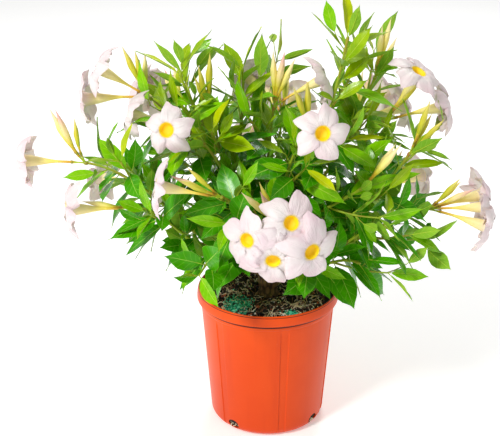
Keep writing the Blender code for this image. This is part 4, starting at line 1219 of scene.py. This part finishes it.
footLook = dict(
    sides=72, lobing=0.15, ridge=0.7 * mm,
    corners=[  # radius and height in mm: root flare, neck, knob
        (0, 0), (19, 0), (16.5, 2.2), (14.4, 5), (13, 9), (13.2, 12), (17.2, 20), (17.6, 30), (13.4, 39),
        (6.5, 43.6), (0, 44.6),
    ],
)


def softened(corners, steps=5, share=0.45):
    # each corner rounded by a curve that starts and ends a share of the way to its neighbours
    c = np.array(corners, float)
    t = np.linspace(0, 1, steps)[:, None]
    parts = [c[:1]]
    for before, here, after in zip(c, c[1:], c[2:]):
        a, b = between(here, before, share), between(here, after, share)
        parts.append(a * (1 - t) ** 2 + here * 2 * t * (1 - t) + b * t**2)
    return np.concatenate([*parts, c[-1:]])


def turnedRings(profile, angles, radii=None):
    # (r sin a, -r cos a, z): a profile of (radius, height) carried round the Z axis
    radii = np.broadcast_to(profile[:, :1], (len(profile), len(angles))) if radii is None else radii
    z = np.broadcast_to(profile[:, 1:], radii.shape)
    return np.stack([radii * np.sin(angles), -radii * np.cos(angles), z], -1)[None]


def makeFoot():
    look = footLook
    profile = softened(np.array(look["corners"]) * mm)[1:-1]
    a = np.linspace(0, 2 * np.pi, look["sides"], endpoint=False)
    z = profile[:, 1:]
    low = 1 - ease(0, 14 * mm, z)
    ridges = lumps(a[None] * 11 * mm + 0 * z, z * 0.4, 7 * mm, 5) * look["ridge"]
    lobed = 1 + look["lobing"] * low * np.cos(5 * a[None])
    radii = profile[:, :1] * lobed + ridges * ease(0, 6 * mm, profile[:, :1])
    body = turnedRings(profile, a, radii)
    body[..., 2] += mixTop + gap * 0.5
    body[..., 0] += limbRule["footLean"] * np.minimum(1, z / limbRule["knobHeight"])
    foot = Sheaf("footBark", [mainBarkPaint])
    foot.tubes(body)
    foot.join(replaced=["woody_foot"])


makeFoot()


# The potting mix

def crumbPaint():
    paint = Paint("mixCrumb", 0.92)
    lump = paint.grains(240)
    fine = paint.noise(700, 4.0, 0.7)
    patch = paint.noise(60, 3.0)
    shade = paint.blend(tone(12, 9, 8), tone(40, 29, 22), paint.ramp(fine, 0.48, 0.75))
    shade = paint.blend(shade, tone(84, 60, 44), paint.ramp(patch, 0.58, 0.72) * 0.3)
    return paint.finish(shade, fine - lump, 1.6 * mm, roughness=fine * 0.3 + 0.68)


def chipPaint(name, colour, darker):
    paint = Paint(name, 0.85)
    grain = paint.noise(300, 3.0, where=paint.stretched((1, 0.3, 1)))
    shade = paint.blend(colour, darker, paint.ramp(grain, 0.4, 0.65))
    return paint.finish(shade, grain, 0.5 * mm, roughness=grain * 0.2 + 0.7)


mixLook = dict(  # sizes of the bits in mm
    radius=99.1 * mm, inner=86.0 * mm, low=2.3 * mm, fall=5 * mm, lump=1.8 * mm, sides=180,
    chips=900, chipSizes=(2.0, 6.2), chipShares=(0.70, 0.17, 0.08, 0.05), bigChip=(-16, -47, 6.5),
    fibres=360, fibreRows=7, fibreReach=(8, 26), fibreThick=(0.30, 0.68), fibreShares=(0.55, 0.45),
    patches=[(-47, -42, 17, 24, 2000), (36, -68, 11, 8, 220)],  # of granules: x, y, spread x and y, count
    granuleSizes=(0.9, 1.6), granuleShares=(0.62, 0.38), specks=420, speckSizes=(0.6, 2.0),
)


def mixHeight(x, y):
    r = np.hypot(x, y)
    edge = 1 - ease(0.93 * mixLook["radius"], mixLook["radius"], r)
    rough = lumps(x, y, 17 * mm, 41) + 0.6 * lumps(x, y, 7 * mm, 42)
    mound = mixTop - mixLook["fall"] * (r / mixLook["radius"]) ** 2.6
    return mound + mixLook["lump"] * rough * edge - 0.6 * mm


def makeMixBody():
    look = mixLook
    a = np.linspace(0, 2 * np.pi, look["sides"], endpoint=False)
    foot = np.array([  # the side that the pot hides, as (radius, height)
        (1 * mm, look["low"]), (72 * mm, look["low"]), (80 * mm, 5 * mm), (look["inner"], 15 * mm),
        (look["radius"], mixTop - 9 * mm),
    ])
    r = np.linspace(look["radius"], 1 * mm, 64)
    body = turnedRings(foot, a)
    flat = np.stack([r[:, None] * np.sin(a), -r[:, None] * np.cos(a)], -1)
    top = np.concatenate([flat, mixHeight(flat[..., 0], flat[..., 1])[..., None]], -1)[None]
    mix = Sheaf("mixBody", [crumbPaint()])
    mix.tubes(np.concatenate([body, top], 1))
    mix.join(replaced=["potting_mix"])


def scattered(draw, count, least=22 * mm, most=91 * mm):  # even over the ring between foot and wall
    r = np.sqrt(draw.uniform(least**2, most**2, count))
    a = draw.uniform(0, 2 * np.pi, count)
    x, y = r * np.sin(a), -r * np.cos(a)
    return np.stack([x, y, mixHeight(x, y)], -1)


def pebbles(draw, centre, size, rows=4, sides=6, flat=1.0, jitter=0.25):
    # squashed and turned balls with every point moved at random, one for each centre
    count = len(centre)
    level = np.linspace(-0.85, 0.85, rows)[None, :, None]
    a = circle(sides)[None, None]
    girth = np.sqrt(1 - level**2) * draw.uniform(1 - jitter, 1 + jitter, (count, rows, sides))
    narrow = draw.uniform(0.45, 1, (count, 1, 1))
    local = np.stack([girth * np.cos(a), girth * np.sin(a) * narrow, level * flat + 0 * girth], -1)
    tilt, spin = draw.uniform(-0.6, 0.6, count), draw.uniform(0, 2 * np.pi, count)
    x = np.stack([np.cos(spin) * np.cos(tilt), np.sin(spin) * np.cos(tilt), np.sin(tilt)], -1)
    y = np.stack([-np.sin(spin), np.cos(spin), 0 * spin], -1)
    turn = np.stack([x, y, np.cross(x, y)], 1)
    return centre[:, None, None] + np.einsum("nrsi,nij->nrsj", local * size[:, None, None, None], turn)


def makeChips(draw):
    look = mixLook
    chips = Sheaf("barkChips", [
        chipPaint("chipDark", tone(26, 19, 15), tone(13, 10, 8)),
        chipPaint("chipBrown", tone(86, 54, 34), tone(44, 28, 19)),
        chipPaint("chipTan", tone(214, 182, 150), tone(150, 118, 92)),
        chipPaint("chipRust", tone(196, 104, 70), tone(130, 60, 34)),
    ])
    x, y, big = look["bigChip"]
    centre = scattered(draw, look["chips"])
    centre[0] = x * mm, y * mm, mixHeight(x * mm, y * mm) + 2 * mm
    size = draw.uniform(*look["chipSizes"], look["chips"]) ** 1.15 * mm * 0.66
    size[0] = big * mm
    kind = draw.choice(4, look["chips"], p=look["chipShares"])
    kind[0] = 3
    chips.tubes(pebbles(draw, centre, size, rows=3, flat=0.32, jitter=0.35), kind[:, None])
    chips.join(sharp=35)


def makeFibres(draw):
    # start + reach (lean t + bow t^2), lying on the mix and bowed up by sin(pi t)
    look, count = mixLook, mixLook["fibres"]
    start = scattered(draw, count, most=86 * mm)
    spin, reach = draw.uniform(0, 2 * np.pi, count), draw.uniform(*look["fibreReach"], count) * mm
    t = np.linspace(0, 1, look["fibreRows"])[None, :, None]
    lean = np.stack([np.cos(spin), np.sin(spin), 0 * spin], -1)[:, None]
    bow = np.stack([-np.sin(spin), np.cos(spin), 0 * spin], -1)[:, None]
    bow = bow * draw.uniform(-0.3, 0.3, (count, 1, 1))
    paths = start[:, None] + (lean * t + bow * t**2) * reach[:, None, None]
    shrink = np.minimum(1, 92 * mm / np.hypot(paths[..., 0], paths[..., 1]))
    paths[..., :2] *= shrink[..., None]
    arch = draw.uniform(0.8, 3, (count, 1)) * mm * np.sin(np.pi * t[..., 0])
    paths[..., 2] = mixHeight(paths[..., 0], paths[..., 1]) + 0.8 * mm + arch
    fibres = Sheaf("mixFibres", [
        chipPaint("fibreTan", tone(255, 236, 206), tone(224, 190, 152)),
        chipPaint("fibreBrown", tone(150, 102, 74), tone(92, 58, 42)),
    ])
    thick = draw.uniform(*look["fibreThick"], (count, 1)) * mm * np.ones((1, look["fibreRows"]))
    kind = draw.choice(2, (count, 1), p=look["fibreShares"])
    fibres.tubes(rings(paths, np.linspace(0, 1, look["fibreRows"]), thick, 5), kind)
    fibres.join()


def makeGranules(draw):
    look = mixLook
    flat = np.concatenate([
        (np.array([x, y]) + draw.normal(0, 0.5, (n, 2)) * (wide, deep)) * mm
        for x, y, wide, deep, n in look["patches"]
    ])
    flat = flat[np.hypot(*flat.T) < 91 * mm]
    centre = np.concatenate([flat, (mixHeight(*flat.T) + draw.uniform(0.6, 2.4, len(flat)) * mm)[:, None]], 1)
    granules = Sheaf("feedGranules", [
        chipPaint("feedTeal", tone(0, 158, 126), tone(0, 112, 92)),
        chipPaint("feedMint", tone(130, 240, 205), tone(64, 204, 168)),
    ])
    size = draw.uniform(*look["granuleSizes"], len(flat)) * mm
    kind = draw.choice(2, (len(flat), 1), p=look["granuleShares"])
    granules.tubes(pebbles(draw, centre, size, rows=4, sides=7, jitter=0.06), kind)
    granules.join()


def makeSpecks(draw):
    specks = Sheaf("perliteSpecks", [chipPaint("speckWhite", tone(250, 246, 236), tone(206, 196, 178))])
    centre = scattered(draw, mixLook["specks"]) + up * 0.8 * mm
    specks.tubes(pebbles(draw, centre, draw.uniform(*mixLook["speckSizes"], len(centre)) * mm))
    specks.join(sharp=40)


makeMixBody()
mixDraw = np.random.default_rng(53)  # the bits draw from it in this order
for makeBits in (makeChips, makeFibres, makeGranules, makeSpecks):
    makeBits(mixDraw)


# The pot

potLook = dict(  # in mm and degrees
    height=216, lip=108, lipDepth=17, shoulder=26, step=1.2, wallTop=101.5, mouth=103.7, base=88,
    corner=15, wall=1.8, flutes=6, fluteDepth=1.3, fluteHalf=3.4, fluteStep=0.6, firstFlute=14,
    dirtLines=[(197.2, 3.2), (213.4, 0.6)],  # painted shade lines, as height and half height
    drains=4, firstDrain=53, drainSize=(20, 17), drainTurn=77, drainSlope=-12, drainSides=32, drainDepth=5.4,
    crumbs=22, crumbSizes=(0.6, 1.7), crumbSide=7, crumbDrop=(-6, 5), crumbBehind=(1.2, 2.2),
)


def potPaint():
    paint = Paint("potOrange", 0.36, Specular_IOR_Level=0.22)
    cloud = paint.noise(9, 3.0)
    drag = paint.noise(40, 3.0, where=paint.stretched((1, 1, 0.06)))
    scuff = paint.ramp(paint.noise(180, 4.0, 0.7, paint.stretched((1, 1, 0.35))), 0.66, 0.74)
    shade = paint.blend(tone(224, 74, 10), tone(234, 83, 15), paint.ramp(cloud, 0.3, 0.7))
    shade = paint.blend(shade, tone(204, 60, 17), paint.ramp(drag, 0.5, 0.75) * 0.35)
    shade = paint.blend(shade, tone(240, 150, 112), scuff * 0.22)
    height = paint.node("ShaderNodeSeparateXYZ", sockets={0: paint.place()}, out=2)
    # painted shade: the pot darker towards the bottom
    shade = paint.blend(shade, tone(204, 60, 10), (1 - paint.ramp(height, 0.0, 0.18)) * 0.5)
    for line, half in potLook["dirtLines"]:  # painted shade: a dark line in the turn under the lip, and one just under the rim's top
        paintedShade = 1 - paint.ramp(abs(height - line * mm), half * 0.4 * mm, half * mm)
        shade = paint.blend(shade, tone(70, 20, 8), paintedShade)
    gloss = 0.30 + cloud * 0.10 + scuff * 0.16
    return paint.finish(shade, drag * 0.35 + scuff * 0.2, 0.12 * mm, roughness=gloss)


def cornerArc(radius, low, degrees):  # points on the rounded edge under the wall
    a, c = np.radians(degrees), potLook["corner"]
    return np.stack([radius - c + c * np.sin(a), low + c * (1 - np.cos(a))], -1)


def potProfile():
    # the outside from the middle of the base up to the lip, then the inside down to the floor's middle
    look = potLook
    top, low, ledge = look["height"], look["height"] - look["lipDepth"], look["height"] - look["shoulder"]
    wall, outer = look["wallTop"], look["wallTop"] + look["step"]
    lip, mouth, thin = look["lip"], look["mouth"], look["wall"]
    turn = np.linspace(0, 84, 12)
    walls = np.linspace(0, 1, 24)[1:-1, None]
    foot = cornerArc(look["base"], 0, turn)
    rise = between(foot[-1], np.array([wall, ledge - 1.5]), walls)
    rim = softened([
        (wall, ledge - 1.5), (wall, ledge), (outer, ledge + 1), (outer, low - 0.2), (lip - 0.9, low),
        (lip, low + 1.6), (lip - 0.3, top - 9), (lip - 1.8, top - 0.9), (lip - 2.8, top),
        (mouth + 0.7, top), (mouth, top - 0.9), (outer - thin + 0.2, low + 3), (outer - thin, low),
        (wall - thin, ledge), (wall - thin - 0.2, ledge - 4),
    ])
    inner = cornerArc(look["base"] - thin, thin, turn[::-1])
    fall = between(rim[-1], inner[0], walls)
    profile = np.concatenate([[(0.5, 0)], foot, rise, rim, fall, inner, [(0.5, thin)]])
    return profile, len(foot) + len(rise) + 1  # the flutes end before this row


def flutedShell():
    # the profile turned round Z, pressed in along each flute, with angles set close together at its edges
    look = potLook
    profile, fluted = potProfile()
    sector = 360 / look["flutes"]
    edges = [look["fluteHalf"] + look["fluteStep"] * k for k in (-0.6, -0.2, 0.2, 0.5, 0.8, 1.2)]
    even = np.linspace(-sector / 2, sector / 2, 42, endpoint=False).round(3)
    offsets = np.array(sorted({*even, *edges, *[-e for e in edges]}))
    angles = np.concatenate([look["firstFlute"] + sector * k + offsets for k in range(look["flutes"])])
    off = np.abs((angles - look["firstFlute"] + sector / 2) % sector - sector / 2)
    dent = 1 - ease(look["fluteHalf"] - 0.3 * look["fluteStep"], look["fluteHalf"] + look["fluteStep"], off)
    z, ledge = profile[:, 1:], look["height"] - look["shoulder"]
    reach = ease(0.5, 8, z) * (1 - ease(ledge - 2.4, ledge - 0.6, z))
    reach[fluted:] = 0
    radii = profile[:, :1] - look["fluteDepth"] * dent[None] * reach
    return turnedRings(profile, np.radians(angles), radii) * mm


def drainOvals(azimuths, middle):
    # centre + outward depth + side cos a width / 2 - rise sin a height / 2, with a row at either end
    look = potLook
    outward = np.array([heading(azimuth, look["drainSlope"]) for azimuth in azimuths])
    centre = np.array([heading(azimuth, 0) * middle[0] + up * middle[1] for azimuth in azimuths])
    side = unit(np.cross(outward, up))
    rise = np.cross(side, outward)
    a = circle(look["drainSides"])[None, None, :, None]
    depth = np.array([-look["drainDepth"], look["drainDepth"]])[None, :, None, None]
    wide, high = look["drainSize"]
    oval = np.cos(a) * side[:, None, None] * wide / 2 - np.sin(a) * rise[:, None, None] * high / 2
    return (centre[:, None, None] + outward[:, None, None] * depth + oval) * mm


def makeShell(azimuths, middle):
    pot = Sheaf("potShell", [potPaint()])
    pot.tubes(flutedShell())
    cutters = Sheaf("drainCutters", [pot.paints[0]])
    cutters.tubes(drainOvals(azimuths, middle))
    cutObj, potObj = cutters.join(), pot.join(replaced=["pot"])
    cut = potObj.modifiers.new("drains", "BOOLEAN")
    cut.object, cut.operation, cut.solver = cutObj, "DIFFERENCE", "EXACT"
    graph = bpy.context.evaluated_depsgraph_get()
    mesh = bpy.data.meshes.new_from_object(potObj.evaluated_get(graph), depsgraph=graph)
    potObj.modifiers.clear()
    potObj.data = mesh
    bpy.data.objects.remove(cutObj, do_unlink=True)
    mesh.shade_smooth()
    mesh.set_sharp_from_angle(angle=math.radians(38))
    print("pot cut:", len(mesh.polygons), "faces")


def makeCrumbs(azimuths, middle):  # what shows of the mix in the drain holes
    look, draw = potLook, np.random.default_rng(67)
    total = len(azimuths) * look["crumbs"]
    aside = draw.uniform(-look["crumbSide"], look["crumbSide"], total)
    turn = np.radians(np.repeat(azimuths, look["crumbs"])) + aside / look["base"]
    reach = look["base"] - look["wall"] - draw.uniform(*look["crumbBehind"], total)
    z = middle[1] + draw.uniform(*look["crumbDrop"], total)
    place = np.stack([reach * np.sin(turn), -reach * np.cos(turn), z], -1)
    crumbs = Sheaf("drainCrumbs", [chipPaint("rootPale", tone(232, 216, 184), tone(96, 74, 54))])
    crumbs.tubes(pebbles(draw, place * mm, draw.uniform(*look["crumbSizes"], total) * mm))
    crumbs.join()


drainAzimuths = potLook["firstDrain"] + 360 / potLook["drains"] * np.arange(potLook["drains"])
drainMiddle = cornerArc(potLook["base"], 0, potLook["drainTurn"])  # of each hole, as (radius, height)
makeShell(drainAzimuths, drainMiddle)
makeCrumbs(drainAzimuths, drainMiddle)


# Floor, light and camera

studio = dict(
    floorSize=14.0, floorColour=tone(250, 250, 249), floorGlow=0.26, world=0.44,
    target=(-0.027, 0, 0.327), pitch=22.5, distance=1.7, focal=1140, frameWidth=500,
    lamps=[  # place, size, power, colour
        ((-2.0, -2.15, 2.7), 0.9, 100, (1.0, 0.985, 0.96)),
        ((2.3, -1.7, 1.5), 1.8, 4, (0.97, 0.985, 1.0)),
        ((0.4, 2.2, 2.6), 1.2, 40, (1.0, 1.0, 1.0)),
    ],
)


def makeStudio():
    target = Vector(studio["target"])
    half = studio["floorSize"] / 2
    mesh = bpy.data.meshes.new("floor")
    corners = [(-half, -half, 0), (half, -half, 0), (half, half, 0), (-half, half, 0)]
    mesh.from_pydata(corners, [], [[0, 1, 2, 3]])
    paint = Paint("floorPale", 0.75, Emission_Color=(1, 1, 1, 1), Emission_Strength=studio["floorGlow"])
    mesh.materials.append(paint.finish(studio["floorColour"]))
    linked("floor", mesh)
    for k, (place, size, power, colour) in enumerate(studio["lamps"]):
        data = bpy.data.lights.new(f"softLamp{k}", "AREA")
        data.shape, data.size, data.energy, data.color = "DISK", size, power, colour
        lamp = linked(f"softLamp{k}", data)
        lamp.location = place
        lamp.rotation_euler = (Vector(place) - target).to_track_quat("Z", "Y").to_euler()
    world = bpy.data.worlds.new("paleRoom")
    world.use_nodes = True
    world.node_tree.nodes["Background"].inputs["Color"].default_value = (1, 1, 1, 1)
    world.node_tree.nodes["Background"].inputs["Strength"].default_value = studio["world"]
    bpy.context.scene.world = world
    bpy.context.scene.view_settings.view_transform = "Standard"

    pitch = math.radians(studio["pitch"])
    back = Vector((0, -math.cos(pitch), math.sin(pitch)))
    data = bpy.data.cameras.new("photoView")
    data.sensor_width = 36
    data.lens = 36 * studio["focal"] / studio["frameWidth"]
    camera = linked("photoView", data)
    camera.location = target + back * studio["distance"]
    camera.rotation_euler = (-back).to_track_quat("-Z", "Y").to_euler()
    bpy.context.scene.camera = camera


makeStudio()
